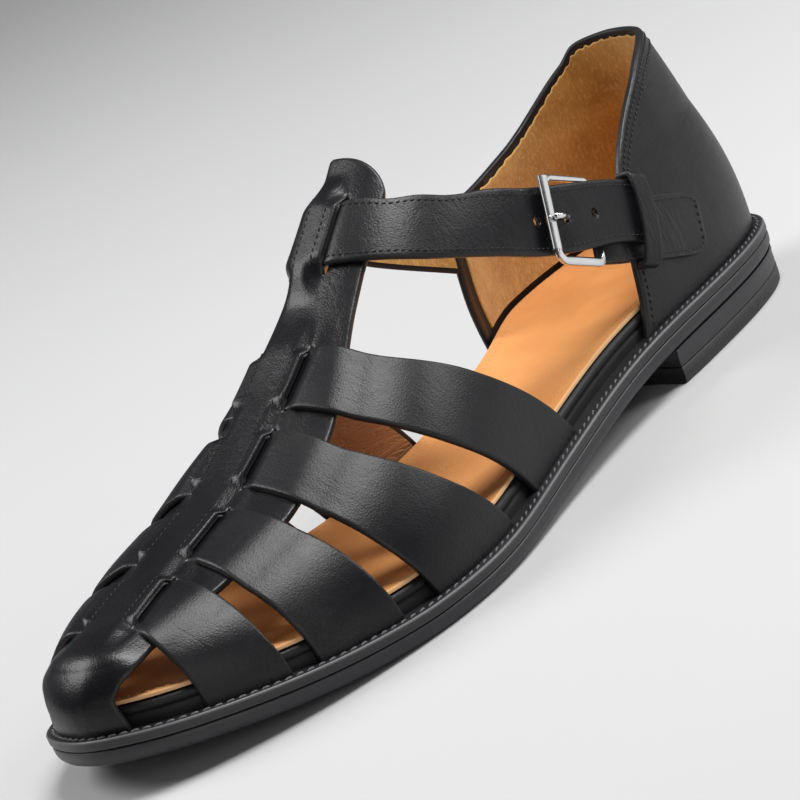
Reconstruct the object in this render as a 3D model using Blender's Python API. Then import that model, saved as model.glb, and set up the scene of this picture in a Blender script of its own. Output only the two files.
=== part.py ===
# Fisherman sandal, left shoe, standing on the floor.
# Lengths below are in millimetres and become metres when a mesh is made.
# The toe points to -Y and the lateral side to +X. "u" is the distance forward
# from the back of the heel, so y = HALF_LENGTH - u.
import bpy
import bmesh
import numpy as np

for old in list(bpy.data.objects):
    bpy.data.objects.remove(old)

# driving sizes
LENGTH = 300.0            # welt, heel back to toe tip
HALF_LENGTH = LENGTH / 2
HEEL_HEIGHT = 10.6        # heel block and top lift under the outsole
OUTSOLE_THICK = 4.4
WELT_THICK = 2.9
PIECE_GAP = 0.3           # curved pieces stay this far apart
SOLE_THICK = OUTSOLE_THICK + PIECE_GAP + WELT_THICK
TOE_SPRING = 9.9
SHANK_LIFT = 1.9          # arch of the medial waist
HEEL_LENGTH = 84.0
LIFT_THICK = 4.8
SHELF = 3.2               # welt edge to the outer face of the upper
LEATHER = 1.9             # one layer of upper leather
OVERLAY = 1.8             # step up where a strap lies over the centre strap
QUARTER_THICK = 2.2
RIM_INSET = 5.8
RIM_HEIGHT = 6.2
SOCK_INSET = 6.5
SOCK_THICK = 1.2
STRAP_WIDTH = 18.6
TAB_BACK = -26.5          # base tab, by distance from the tail of the strap
TAB_FRONT = 17.2
TAB_TURN = -19.5          # its rounded end begins here
TAB_TURN_LONG = 8.6
TAB_DROP = 4.6            # the tab lies lower than the strap by this
TAB_THICK = 1.6
KEEPER_PLACE = 4.2
KEEPER_LONG = 6.5
KEEPER_DEEP = 3.3         # its legs reach this far under the strap's outer face
BUCKLE_PLACE = 31.4
BUCKLE_LONG = 24.6
BUCKLE_BAR = 2.1
BUCKLE_THICK = 1.8
BUCKLE_CORNER = 2.6
BUCKLE_MARGIN = 3.2       # frame beyond each edge of the strap
BAR_CLEAR = 0.9           # bars stay this far off the leather
PRONG_THICK = 1.6
PRONG_WIDE = 2.4
BAND_CENTRE = 3.5         # middle of the centre strap, lateral of the ridge
BAND_HALF = 10.0          # from there to each row of slits
BRIDGE_LIFT = 3.4         # rise of the band over the ankle strap
STRAP_DIP = 1.2           # the ankle strap dips by this under the band
FOOT_CENTRE = 2.79        # middle of the welt's width, put on the origin

# Plan outline of the welt: distance from the heel back, reach to each side.
outline_rows = [
    {"u": 0, "lateral": 0, "medial": 0}, {"u": 4, "lateral": 15.5, "medial": 15.5},
    {"u": 14, "lateral": 26.5, "medial": 26.5}, {"u": 35, "lateral": 33.5, "medial": 34},
    {"u": 70, "lateral": 37.5, "medial": 33.3}, {"u": 110, "lateral": 39.5, "medial": 18.5},
    {"u": 150, "lateral": 45, "medial": 15}, {"u": 190, "lateral": 53, "medial": 28},
    {"u": 215, "lateral": 53.5, "medial": 42.8}, {"u": 240, "lateral": 47.5, "medial": 48.5},
    {"u": 262, "lateral": 38.5, "medial": 45}, {"u": 282, "lateral": 25.5, "medial": 34.5},
    {"u": 294, "lateral": 13, "medial": 22.5}, {"u": 300, "lateral": -3.5, "medial": 3.5},
]

# Instep: height of the outer face over the welt and place of the ridge.
ridge_rows = [
    {"u": 100, "height": 115, "ridge": -1}, {"u": 125, "height": 96, "ridge": -1.5},
    {"u": 150, "height": 80.5, "ridge": -1.5}, {"u": 175, "height": 65.5, "ridge": -3.2},
    {"u": 200, "height": 51.5, "ridge": -5}, {"u": 225, "height": 39.5, "ridge": -7.5},
    {"u": 250, "height": 31, "ridge": -9.5}, {"u": 272, "height": 24.6, "ridge": -8.5},
]
TOE_HEIGHT = 19.4
TOE_ROUND = 11.0
TOE_BELLY = {"side": (-1, 0, 1), "out": (2.0, 2.1, 0.8), "high": 20.0, "low": 3.0}
SECTION_OUT = {"lateral": 0.79, "medial": 0.85}
SECTION_UP = {"lateral": 0.89, "medial": 0.80}

# Strap edges: station at the foot, at two places up the side and at the slit.
strap_rows = [
    {"name": "first", "back": (137, 164, 181, 185), "front": (166, 188, 199.5, 202),
     "back_in": (152, 172, 183, 185), "front_in": (177, 193, 200.5, 202)},
    {"name": "second", "back": (182, 199.5, 208.5, 207.5), "front": (218.5, 224.5, 226.5, 224.5),
     "back_in": (190, 202, 208, 207.5), "front_in": (220, 225, 226, 224.5)},
    {"name": "third", "back": (230, 232.5, 233.3, 231.5), "front": (254.5, 255.3, 254, 249.5),
     "back_in": (231, 232.5, 233, 231.5), "front_in": (254, 254.5, 253, 249.5)},
    {"name": "fourth", "back": (261.3, 261.8, 259.5, 256.5), "front": (280.6, 280.6, 279.6, 276.5),
     "back_in": (261.5, 261.5, 259.5, 256.5), "front_in": (280.4, 280.2, 279, 276.5)},
]

# Centre strap: reach of its margins from BAND_CENTRE.
band_rows = [
    {"u": 140, "half": 18}, {"u": 160, "half": 18.5}, {"u": 185, "half": 21.5},
    {"u": 205, "half": 27}, {"u": 230, "half": 29}, {"u": 256, "half": 25}, {"u": 272, "half": 20},
]
TAB_END = 137.5
TAB_ROUND = 8.5
SLOT = {"back": 147.6, "front": 166.6, "lateral": 8.6, "medial": -5.4, "wide": 2.8}

# Top line of the quarter over the welt, by distance along the outline.
topline_lateral = [
    {"u": 0, "z": 67.5}, {"u": 10, "z": 67.2}, {"u": 22, "z": 66}, {"u": 36, "z": 62.3},
    {"u": 47, "z": 57.2}, {"u": 58, "z": 51}, {"u": 70, "z": 40.6}, {"u": 77, "z": 30},
]
topline_medial = [
    {"u": 0, "z": 67.5}, {"u": 6, "z": 66.5}, {"u": 15, "z": 61.5}, {"u": 30, "z": 53.5},
    {"u": 47, "z": 47.5}, {"u": 64, "z": 45.2}, {"u": 77, "z": 48},
]
front_edge_lateral = [{"z": 0, "u": 90.5}, {"z": 8, "u": 86.5}, {"z": 19, "u": 82.5}, {"z": 30, "u": 77}]
front_edge_medial = [
    {"z": 0, "u": 93.5}, {"z": 10, "u": 95.5}, {"z": 20, "u": 96.5}, {"z": 28, "u": 96}, {"z": 48, "u": 94},
]
QUARTER_END = 77.0        # last station of the quarter's grid, on the front edge
SLANT_START = 41.0        # stations in front of this one slant with the front edge

# Ankle strap beyond the instep: both edges of the outer face, x y z.
strap_lateral = [
    {"top": (32.8, 27.1, 79.9), "foot": (36.0, 16.0, 64.6)},
    {"top": (34.6, 41.2, 73.2), "foot": (37.0, 33.0, 56.0)},
]
# Tail of the strap over the base tab: stations and heights on the heel wall.
strap_tail = [
    {"top_u": 95, "top_z": 50.8, "foot_u": 103, "foot_z": 34.4},
    {"top_u": 82.4, "top_z": 45.0, "foot_u": 90, "foot_z": 29.2},
    {"top_u": 67.8, "top_z": 37.6, "foot_u": 74.5, "foot_z": 21.0},
]
TAIL_OFFSET = 4.3         # outer face of the tail over the quarter's outer face
strap_medial = [
    {"top": (-15.4, 16.0, 90.2), "foot": (-18.5, 4.5, 78.8)},
    {"top": (-21.2, 36.0, 78.8), "foot": (-23.0, 29.5, 63.6)},
]
# The strap begins at the front edge of the medial quarter.
strap_root = {"top_u": 94.6, "top_z": 47.9, "foot_u": 96.7, "foot_z": 30.2}


def column(rows, key):
    return np.array([row[key] for row in rows], float)


def curve(xs, ys, q, flat_ends=False):
    """Smooth cubic through the rows, slopes weighted by the steps on both sides."""
    xs = np.asarray(xs, float)
    ys = np.asarray(ys, float)
    q = np.asarray(q, float)
    step = np.diff(xs)
    rise = np.diff(ys) / step
    mid = (rise[:-1] * step[1:] + rise[1:] * step[:-1]) / (step[:-1] + step[1:])
    slope = np.concatenate([[rise[0]], mid, [rise[-1]]])
    if flat_ends:
        slope[[0, -1]] = 0
    i = np.clip(np.searchsorted(xs, q, side="right") - 1, 0, len(xs) - 2)
    h = xs[i + 1] - xs[i]
    t = (q - xs[i]) / h
    first = (1 + 2 * t) * (1 - t) ** 2 * ys[i] + t * (1 - t) ** 2 * h * slope[i]
    return first + t * t * (3 - 2 * t) * ys[i + 1] + t * t * (t - 1) * h * slope[i + 1]


def outline(count, inset, side):
    """Plan points of the outline from the heel back to the toe tip, moved in by the inset."""
    s = np.linspace(0, 1, len(outline_rows))
    q = np.linspace(0, 1, count)
    u = curve(s, column(outline_rows, "u"), q, flat_ends=True)
    reach = curve(s, column(outline_rows, "lateral" if side > 0 else "medial"), q)
    x = side * reach
    du = np.gradient(u)
    dx = np.gradient(x)
    du[0] = du[-1] = 0
    dx[0] = side
    dx[-1] = -side
    size = np.hypot(du, dx)
    return u + side * dx / size * inset, x - side * du / size * inset


def floor_top(u, x):
    """Height of the welt's upper face."""
    u = np.clip(u, 0, LENGTH)
    t = np.clip((u - 70) / 130, 0, 1)
    heel = HEEL_HEIGHT * (1 - t * t * (3 - 2 * t))
    toe = TOE_SPRING * np.clip((u - 222) / 78, 0, 1) ** 1.6
    shank = SHANK_LIFT * np.cos(np.pi / 2 * np.clip((u - 128) / 66, -1, 1)) ** 2 * (36 - x) / 60
    return SOLE_THICK + heel + toe + shank


fine_lateral = outline(500, SHELF, 1)
fine_medial = outline(500, SHELF, -1)
TIP = float(min(fine_lateral[0].max(), fine_medial[0].max())) - 0.02


def half_reach(u):
    order_l = np.argsort(fine_lateral[0])
    order_m = np.argsort(fine_medial[0])
    lateral = np.interp(u, fine_lateral[0][order_l], fine_lateral[1][order_l])
    medial = np.interp(u, fine_medial[0][order_m], fine_medial[1][order_m])
    return lateral, medial


def ridge(u):
    us = np.append(column(ridge_rows, "u"), TIP)
    tip_x = sum(half_reach(np.array([TIP]))) / 2
    height = curve(us, np.append(column(ridge_rows, "height"), TOE_HEIGHT), u)
    t = np.clip((u - (TIP - TOE_ROUND)) / TOE_ROUND, 0, 1)
    height = height * (1 - t ** 2.5) ** 0.4
    return height, curve(us, np.append(column(ridge_rows, "ridge"), tip_x), u)


def instep(u, v):
    """Outer face of a single layer: v runs 0 lateral foot, 0.5 ridge, 1 medial foot."""
    u = np.clip(np.asarray(u, float), 100, TIP)
    lateral, medial = half_reach(u)
    height, middle = ridge(u)
    c = np.cos(np.asarray(v) * np.pi)
    s = np.abs(np.sin(np.asarray(v) * np.pi))
    out = np.where(c > 0, SECTION_OUT["lateral"], SECTION_OUT["medial"])
    up = np.where(c > 0, SECTION_UP["lateral"], SECTION_UP["medial"])
    reach = np.where(c > 0, lateral - middle, middle - medial)
    x = middle + np.sign(c) * reach * np.abs(c) ** out
    return np.stack([x, HALF_LENGTH - u, floor_top(u, x) + height * s ** up], -1)


def cap_height(u, x):
    """Height of the same outer face over a plan point."""
    u = np.clip(u, 100, TIP)
    lateral, medial = half_reach(u)
    height, middle = ridge(u)
    outside = (x - middle) / (lateral - middle + 1e-6)
    inside = (middle - x) / (middle - medial + 1e-6)
    c = np.where(x > middle, outside, inside)
    out = np.where(x > middle, SECTION_OUT["lateral"], SECTION_OUT["medial"])
    up = np.where(x > middle, SECTION_UP["lateral"], SECTION_UP["medial"])
    c = np.clip(c, 0, 1) ** (1 / out)
    return floor_top(u, x) + height * np.sqrt(1 - c * c) ** up


v_fine = np.linspace(0, 1, 241)


def v_at(u, arc):
    """Section place v at a signed distance from the ridge, lateral positive."""
    u = np.atleast_1d(np.asarray(u, float))
    arc = np.broadcast_to(arc, u.shape)
    got = np.empty(u.shape)
    for k in range(len(u)):
        line = instep(np.full(241, u[k]), v_fine)
        run = np.concatenate([[0], np.cumsum(np.linalg.norm(np.diff(line, axis=0), axis=1))])
        got[k] = np.interp(run[120] - arc[k], run, v_fine)
    return got


def grid_normals(points, outward):
    """Unit normals of a grid of points, turned to face the way of `outward`."""
    along = np.gradient(points, axis=0)
    across = np.gradient(points, axis=1)
    n = np.cross(along, across)
    n /= np.linalg.norm(n, axis=-1, keepdims=True) + 1e-12
    mid = n[n.shape[0] // 2, n.shape[1] // 2]
    return n if mid @ np.asarray(outward, float) > 0 else -n


def make_object(name, points, faces, material):
    mesh = bpy.data.meshes.new(name)
    placed = (np.asarray(points) - np.array([FOOT_CENTRE, 0.0, 0.0])) / 1000.0
    mesh.from_pydata([tuple(p) for p in placed], [], faces)
    bm = bmesh.new()
    bm.from_mesh(mesh)
    bmesh.ops.remove_doubles(bm, verts=bm.verts, dist=0.00002)
    bmesh.ops.dissolve_degenerate(bm, edges=bm.edges, dist=0.00001)
    loose = [v for v in bm.verts if not v.link_faces]
    bmesh.ops.delete(bm, geom=loose, context="VERTS")
    bmesh.ops.recalc_face_normals(bm, faces=bm.faces)
    bmesh.ops.triangulate(bm, faces=[f for f in bm.faces if len(f.verts) > 3])
    if bm.calc_volume(signed=True) < 0:
        bmesh.ops.reverse_faces(bm, faces=bm.faces)
    bm.to_mesh(mesh)
    bm.free()
    obj = bpy.data.objects.new(name, mesh)
    bpy.context.scene.collection.objects.link(obj)
    if material:
        mesh.materials.append(material)
    return obj


def slab(name, outer, inner, keep, material):
    """Closed solid between two grids of points, only where `keep` is true."""
    rows, cols = outer.shape[:2]
    number = np.arange(rows * cols).reshape(rows, cols)
    shift = rows * cols
    faces = []
    for i in range(rows - 1):
        for j in range(cols - 1):
            if not keep[i, j]:
                continue
            a, b, c, d = number[i, j], number[i + 1, j], number[i + 1, j + 1], number[i, j + 1]
            faces.append((a, b, c, d))
            faces.append((d + shift, c + shift, b + shift, a + shift))
            open_sides = [
                (i == 0 or not keep[i - 1, j], d, a), (i == rows - 2 or not keep[i + 1, j], b, c),
                (j == 0 or not keep[i, j - 1], a, b), (j == cols - 2 or not keep[i, j + 1], c, d),
            ]
            for is_open, p, q in open_sides:
                if is_open:
                    faces.append((q, p, p + shift, q + shift))
    faces = [tuple(int(k) for k in face) for face in faces]
    points = np.concatenate([outer.reshape(-1, 3), inner.reshape(-1, 3)])
    return make_object(name, points, faces, material)


def plate(name, rings, count, across, u_span, material, breast=0.0):
    """Solid whose side runs through rings of (inset, height rule), top ring first."""
    sides = []
    for inset, height in rings:
        ul, xl = outline(400, inset, 1)
        um, xm = outline(400, inset, -1)
        q = np.linspace(0, 1, 400)
        u_mean = (ul + um) / 2
        last = np.interp(u_span, u_mean, q)
        pick = last * np.linspace(0, 1, count)
        end = np.stack([np.interp(pick, q, ul), np.interp(pick, q, xl)], -1)
        far = np.stack([np.interp(pick, q, um), np.interp(pick, q, xm)], -1)
        share = np.linspace(0, 1, across)[None, :, None]
        plan = far[:, None] * (1 - share) + end[:, None] * share
        bow = breast * (1 - (2 * np.linspace(0, 1, across) - 1) ** 2)
        plan[..., 0] -= bow[None] * np.clip((plan[..., 0] / u_span - 0.6) / 0.4, 0, 1)
        z = height(plan[..., 0], plan[..., 1])
        sides.append(np.stack([plan[..., 1], HALF_LENGTH - plan[..., 0], z], -1))
    faces = []
    size = count * across
    number = np.arange(size).reshape(count, across)
    for i in range(count - 1):
        for j in range(across - 1):
            quad = (number[i, j], number[i + 1, j], number[i + 1, j + 1], number[i, j + 1])
            faces.append(quad)
            low = (len(rings) - 1) * size
            faces.append(tuple(k + low for k in reversed(quad)))
    rim = list(number[0, :]) + list(number[1:, -1])
    rim = rim + list(number[-1, -2::-1]) + list(number[-2:0:-1, 0])
    for level in range(len(rings) - 1):
        for k in range(len(rim)):
            p, q = rim[k] + level * size, rim[(k + 1) % len(rim)] + level * size
            faces.append((p, q, q + size, p + size))
    faces = [tuple(int(k) for k in face) for face in faces]
    return make_object(name, np.concatenate([s.reshape(-1, 3) for s in sides]), faces, material)


def leather(name, colour, rough):
    mat = bpy.data.materials.new(name)
    mat.use_nodes = True
    shader = mat.node_tree.nodes["Principled BSDF"]
    shader.inputs["Base Color"].default_value = (*colour, 1)
    shader.inputs["Roughness"].default_value = rough
    return mat


upper_leather = leather("black_leather", (0.022, 0.022, 0.024), 0.38)
strap_leather = leather("strap_leather", (0.022, 0.022, 0.024), 0.38)
tab_leather = leather("tab_leather", (0.02, 0.02, 0.022), 0.4)
keeper_leather = leather("keeper_leather", (0.02, 0.02, 0.022), 0.4)
quarter_leather = leather("quarter_leather", (0.02, 0.02, 0.022), 0.36)
rim_leather = leather("rim_leather", (0.018, 0.018, 0.02), 0.45)
sock_leather = leather("tan_leather", (0.60, 0.32, 0.13), 0.5)
sole_edge = leather("sole_edge", (0.045, 0.045, 0.048), 0.42)
welt_edge = leather("welt_edge", (0.03, 0.03, 0.032), 0.42)
heel_edge = leather("heel_edge", (0.045, 0.045, 0.048), 0.42)
lift_rubber = leather("lift_rubber", (0.04, 0.04, 0.042), 0.5)
polished = leather("polished_steel", (0.78, 0.78, 0.79), 0.12)
polished.node_tree.nodes["Principled BSDF"].inputs["Metallic"].default_value = 1.0
prong_steel = leather("prong_steel", (0.76, 0.76, 0.77), 0.14)
prong_steel.node_tree.nodes["Principled BSDF"].inputs["Metallic"].default_value = 1.0


# sole
def at_welt(drop):
    return lambda u, x: floor_top(u, x) - drop


def at_level(height):
    return lambda u, x: 0 * u + height


OUT_TOP = WELT_THICK + PIECE_GAP
SOLE_ROWS = 38
HEEL_ROWS = 15
HEEL_BREAST = 4.0         # the heel's front face is hollow by this
outsole_rings = [
    (0.5, at_welt(OUT_TOP)), (0.3, at_welt(OUT_TOP + 0.8)),
    (0.5, at_welt(OUT_TOP + 3.2)), (1.6, at_welt(SOLE_THICK)),
]
plate("Outsole", outsole_rings, SOLE_ROWS, 5, LENGTH, sole_edge)
welt_rings = [(0.3, at_welt(0)), (0.0, at_welt(0.6)), (0.0, at_welt(WELT_THICK))]
plate("Welt", welt_rings, SOLE_ROWS, 3, LENGTH, welt_edge)
platform_rings = [
    (RIM_INSET + 0.5, at_welt(-RIM_HEIGHT)), (RIM_INSET, at_welt(-RIM_HEIGHT + 0.9)),
    (RIM_INSET, at_welt(-PIECE_GAP)),
]
plate("Platform", platform_rings, SOLE_ROWS, 3, LENGTH, rim_leather)
sock_bottom = -RIM_HEIGHT - PIECE_GAP
sock_rings = [(SOCK_INSET + 0.3, at_welt(sock_bottom - SOCK_THICK)), (SOCK_INSET, at_welt(sock_bottom))]
plate("Insole", sock_rings, SOLE_ROWS, 5, LENGTH, sock_leather)
heel_rings = [(1.0, at_welt(SOLE_THICK + PIECE_GAP)), (1.5, at_level(LIFT_THICK + PIECE_GAP))]
plate("Heel", heel_rings, HEEL_ROWS, 5, HEEL_LENGTH, heel_edge, breast=HEEL_BREAST)
lift_rings = [(1.5, at_level(LIFT_THICK)), (1.9, at_level(0.4)), (2.3, at_level(0.0))]
plate("TopLift", lift_rings, HEEL_ROWS, 5, HEEL_LENGTH, lift_rubber, breast=HEEL_BREAST)

# cage: centre strap, toe cap and four straps
edge_places = np.array([0.0, 0.15, 0.30, 0.45])


def strap_grid(row):
    """Grid of one strap from the lateral foot over the band to the medial foot."""
    slits = (BAND_CENTRE + BAND_HALF, BAND_CENTRE - BAND_HALF)
    middle = (row["back"][3] + row["front"][3]) / 2
    margin = float(np.interp(middle, column(band_rows, "u"), column(band_rows, "half")))
    marks = [slits[0] + 0.35, slits[0] - 0.35, BAND_CENTRE, slits[1] + 0.35, slits[1] - 0.35]
    reach_l = float(v_at(middle, BAND_CENTRE + margin + 3.5)[0])
    ramp_l = float(v_at(middle, BAND_CENTRE + margin + 0.8)[0])
    reach_m = float(v_at(middle, BAND_CENTRE - margin - 3.5)[0])
    ramp_m = float(v_at(middle, BAND_CENTRE - margin - 0.8)[0])
    v_marks = [float(v_at(middle, m)[0]) for m in marks]
    free_l = list(reach_l * (np.linspace(0, 1, 9) ** 1.2))
    free_m = list(1 - (1 - reach_m) * (np.linspace(1, 0, 9) ** 1.2))
    vs = free_l + [ramp_l, (ramp_l + v_marks[0]) / 2] + v_marks + [(ramp_m + v_marks[4]) / 2, ramp_m] + free_m
    top = [0] * 9 + [1, 1, 1, 0.35, 1, 0.35, 1, 1, 1] + [0] * 9
    vs = np.array(vs)
    top = np.array(top, float)
    t = np.linspace(0, 1, 4)[:, None]
    lateral = vs <= 0.5
    place = np.minimum(vs, 1 - vs)
    back_medial = curve(edge_places, row["back_in"], place)
    front_medial = curve(edge_places, row["front_in"], place)
    back = np.where(lateral, curve(edge_places, row["back"], place), back_medial)
    front = np.where(lateral, curve(edge_places, row["front"], place), front_medial)
    near = place > 0.45
    back = np.where(near, row["back"][3], back)
    front = np.where(near, row["front"][3], front)
    u = back * (1 - t) + front * t
    points = instep(u, np.broadcast_to(vs, u.shape))
    n = grid_normals(points, (0, -0.4, 1))
    for edge in (0, -1):
        n[:, edge, 2] = 0
        n[:, edge] /= np.linalg.norm(n[:, edge], axis=-1, keepdims=True)
    lift = np.where(top > 0, OVERLAY * top, 0)[None, :, None]
    sink = np.where(top > 0, -LEATHER * 0.5, -LEATHER)[None, :, None]
    outer, inner = points + n * lift, points + n * sink
    foot_lift = np.zeros(u.shape)
    foot_lift[:, [0, -1]] = PIECE_GAP
    outer[..., 2] += foot_lift
    inner[:, [0, -1], 2] = outer[:, [0, -1], 2]
    return outer, inner, np.ones(u.shape, bool)


pieces = []
for row in strap_rows:
    outer, inner, keep = strap_grid(row)
    pieces.append(slab("strap_" + row["name"], outer, inner, keep, upper_leather))

# Centre strap with the two slots; the middle rises over the ankle strap.
u_band = np.array([
    TAB_END, TAB_END + 0.8, TAB_END + 3, TAB_END + 6, 147.0, SLOT["back"], 150, 154, 158, 162, 165,
    SLOT["front"], 169, 172, 178, 184, 190, 196, 202, 208, 214, 221, 228, 235, 242, 250, 258, 266, 272.5,
])
near_slot = SLOT["wide"] / 2
split = [SLOT["lateral"] + near_slot, SLOT["lateral"] - near_slot]
split = split + [SLOT["medial"] + near_slot, SLOT["medial"] - near_slot]
band_u = np.clip(u_band, band_rows[0]["u"], band_rows[-1]["u"])
half_band = curve(column(band_rows, "u"), column(band_rows, "half"), band_u)
turn = np.clip((u_band - TAB_END) / TAB_ROUND, 0, 1)
half_band = half_band * np.sqrt(np.clip(1 - (1 - turn) ** 2, 0.06, 1))
band = np.empty((len(u_band), 12))
for i, (u, half) in enumerate(zip(u_band, half_band)):
    shift = np.interp(u, (165, 190), (1.8, BAND_CENTRE))
    right, left = shift + half, shift - half
    limit = 0.86 * half
    cuts = [shift + np.clip(c - shift, -limit, limit) for c in split]
    outside_r, outside_l = (right + cuts[0]) / 2, (left + cuts[3]) / 2
    bridge = [cuts[1], cuts[1] * 0.65 + cuts[2] * 0.35, cuts[1] * 0.35 + cuts[2] * 0.65, cuts[2]]
    spread = [right, (right + outside_r) / 2, outside_r, cuts[0]] + bridge
    spread = spread + [cuts[3], outside_l, (left + outside_l) / 2, left]
    band[i] = spread
band_v = np.stack([v_at(np.full(12, u), band[i]) for i, u in enumerate(u_band)])
points = instep(np.broadcast_to(u_band[:, None], band.shape), band_v)
n = grid_normals(points, (0, -0.4, 1))
rise = np.interp(u_band, (142, 147, 167, 173), (0, BRIDGE_LIFT, BRIDGE_LIFT, 0))
raised = np.zeros(band.shape)
raised[:, 4:8] = rise[:, None]
keep = np.ones(band.shape, bool)
for i in range(len(u_band) - 1):
    if SLOT["back"] <= u_band[i] < SLOT["front"]:
        keep[i, 3] = keep[i, 7] = False
outer, inner = points + n * raised[..., None], points + n * (raised[..., None] - LEATHER)
pieces.append(slab("centre_strap", outer, inner, keep, upper_leather))

# Toe cap: columns run from a line under the fourth strap to the foot line round the toe.
CAP_COLUMNS = 13
CAP_ROWS = 12
CAP_FROM = 286.0          # the foot line is taken from the outline in front of this
CAP_EDGE = 293.2          # and its two ends lie at this station
CAP_BACK = 266.0
CAP_MIDDLE = -8.6
CAP_HALF = 27.0
CAP_SINK = 0.2
lateral_toe = np.stack(fine_lateral, -1)[fine_lateral[0] > CAP_FROM]
medial_toe = np.stack(fine_medial, -1)[fine_medial[0] > CAP_FROM]
feather = np.concatenate([lateral_toe, medial_toe[::-1]])
gone = np.concatenate([[0], np.cumsum(np.linalg.norm(np.diff(feather, axis=0), axis=1))])
third = len(feather) // 3
start = np.interp(CAP_EDGE, feather[:third, 0], gone[:third])
stop = np.interp(-CAP_EDGE, -feather[-third:, 0], gone[-third:])
where = np.linspace(start, stop, CAP_COLUMNS)
foot_line = np.stack([np.interp(where, gone, feather[:, 0]), np.interp(where, gone, feather[:, 1])], -1)
side_share = np.linspace(1, -1, CAP_COLUMNS)
back_line = np.stack([np.full(CAP_COLUMNS, CAP_BACK), CAP_MIDDLE + side_share * CAP_HALF], -1)
down = 1 - (1 - np.linspace(0, 1, CAP_ROWS)) ** 2.2
plan = back_line[None] * (1 - down[:, None, None]) + foot_line[None] * down[:, None, None]
plan[..., 1] += (3.5 * side_share)[None] * np.sin(np.pi * down ** 1.6)[:, None]
z = cap_height(plan[..., 0], plan[..., 1])
z[-1] = floor_top(foot_line[:, 0], foot_line[:, 1])
cap = np.stack([plan[..., 1], HALF_LENGTH - plan[..., 0], z], -1)
n = grid_normals(cap, (0, -0.6, 1))
n[-1, :, 2] = 0
n[-1] /= np.linalg.norm(n[-1], axis=-1, keepdims=True)
# the low front of the cap swells out over the foot line
above = cap[..., 2] - floor_top(plan[..., 0], plan[..., 1])
swell = np.sin(np.pi * np.clip((above + TOE_BELLY["low"]) / TOE_BELLY["high"], 0, 1))
swell = swell * np.interp(-side_share, TOE_BELLY["side"], TOE_BELLY["out"][::-1])[None]
swell = swell * np.clip((plan[..., 0] - CAP_BACK) / 16.0, 0, 1)
cap[..., :2] += n[..., :2] * swell[..., None]
outer, inner = cap - n * CAP_SINK, cap - n * (LEATHER + CAP_SINK)
outer[-1, :, 2] += PIECE_GAP
inner[-1, :, 2] = outer[-1, :, 2]
pieces.append(slab("toe_cap", outer, inner, np.ones(cap.shape[:2], bool), upper_leather))


def join(target, others):
    for other in others:
        mod = target.modifiers.new("join_" + other.name, "BOOLEAN")
        mod.operation = "UNION"
        mod.solver = "EXACT"
        mod.object = other
        with bpy.context.temp_override(object=target, active_object=target):
            bpy.ops.object.modifier_apply(modifier=mod.name)
        bpy.data.objects.remove(other)


cage = pieces[4]
cage.name = "Cage"
join(cage, [pieces[5], pieces[0], pieces[1], pieces[2], pieces[3]])


# quarter: cup round the heel, open at the top and the front
def lean(z, u):
    rise = np.clip(z / 65, 0, 1.2)
    belly = np.sin(np.pi * np.clip(z, 0, 42) / 42)
    back = 9.0 * rise ** 2 - 1.6 * belly
    side = 5.5 * rise ** 1.5 - 0.6 * belly
    w = np.clip(u / 40, 0, 1)
    return back * (1 - w) + side * w


def heel_wall(u, z, side, extra):
    """Point of the heel wall over outline station u at height z over the welt."""
    ul, xl = outline(600, 0.0, side)
    du, dx = np.gradient(ul), np.gradient(xl)
    du[0] = 0
    dx[0] = side
    size = np.hypot(du, dx)
    at_u, at_x = np.interp(u, ul, ul), np.interp(u, ul, xl)
    nu, nx = np.interp(u, ul, -side * dx / size), np.interp(u, ul, side * du / size)
    back = SHELF + lean(z, u) - extra
    return np.stack([at_x - nx * back, HALF_LENGTH - (at_u - nu * back), floor_top(at_u, at_x) + z], -1)


def quarter_side(side, top_rows, edge_rows, extra):
    stations = np.array([0, 1.2, 4, 9, 17, 28, SLANT_START, 50, 58, 65, 71, QUARTER_END])
    levels = np.linspace(0, 1, 9)
    top = curve(column(top_rows, "u"), column(top_rows, "z"), stations)
    grid = []
    for k, u in enumerate(stations):
        z = PIECE_GAP + (top[k] - PIECE_GAP) * levels
        front = curve(column(edge_rows, "z"), column(edge_rows, "u"), np.clip(z, 0, edge_rows[-1]["z"]))
        slant = np.clip((u - SLANT_START) / (QUARTER_END - SLANT_START), 0, 1) ** 1.3
        spread = u + (front - QUARTER_END) * slant
        grid.append(heel_wall(spread, z, side, extra))
    return np.stack(grid)


def quarter_grid(extra):
    lateral = quarter_side(1, topline_lateral, front_edge_lateral, extra)
    medial = quarter_side(-1, topline_medial, front_edge_medial, extra)
    return np.concatenate([lateral[::-1], medial[1:]])


outer, inner = quarter_grid(0.0), quarter_grid(-QUARTER_THICK)
slab("Quarter", outer, inner, np.ones(outer.shape[:2], bool), quarter_leather)

INSIDE_SHOE = np.array([2.0, 30.0, 40.0])

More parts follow.
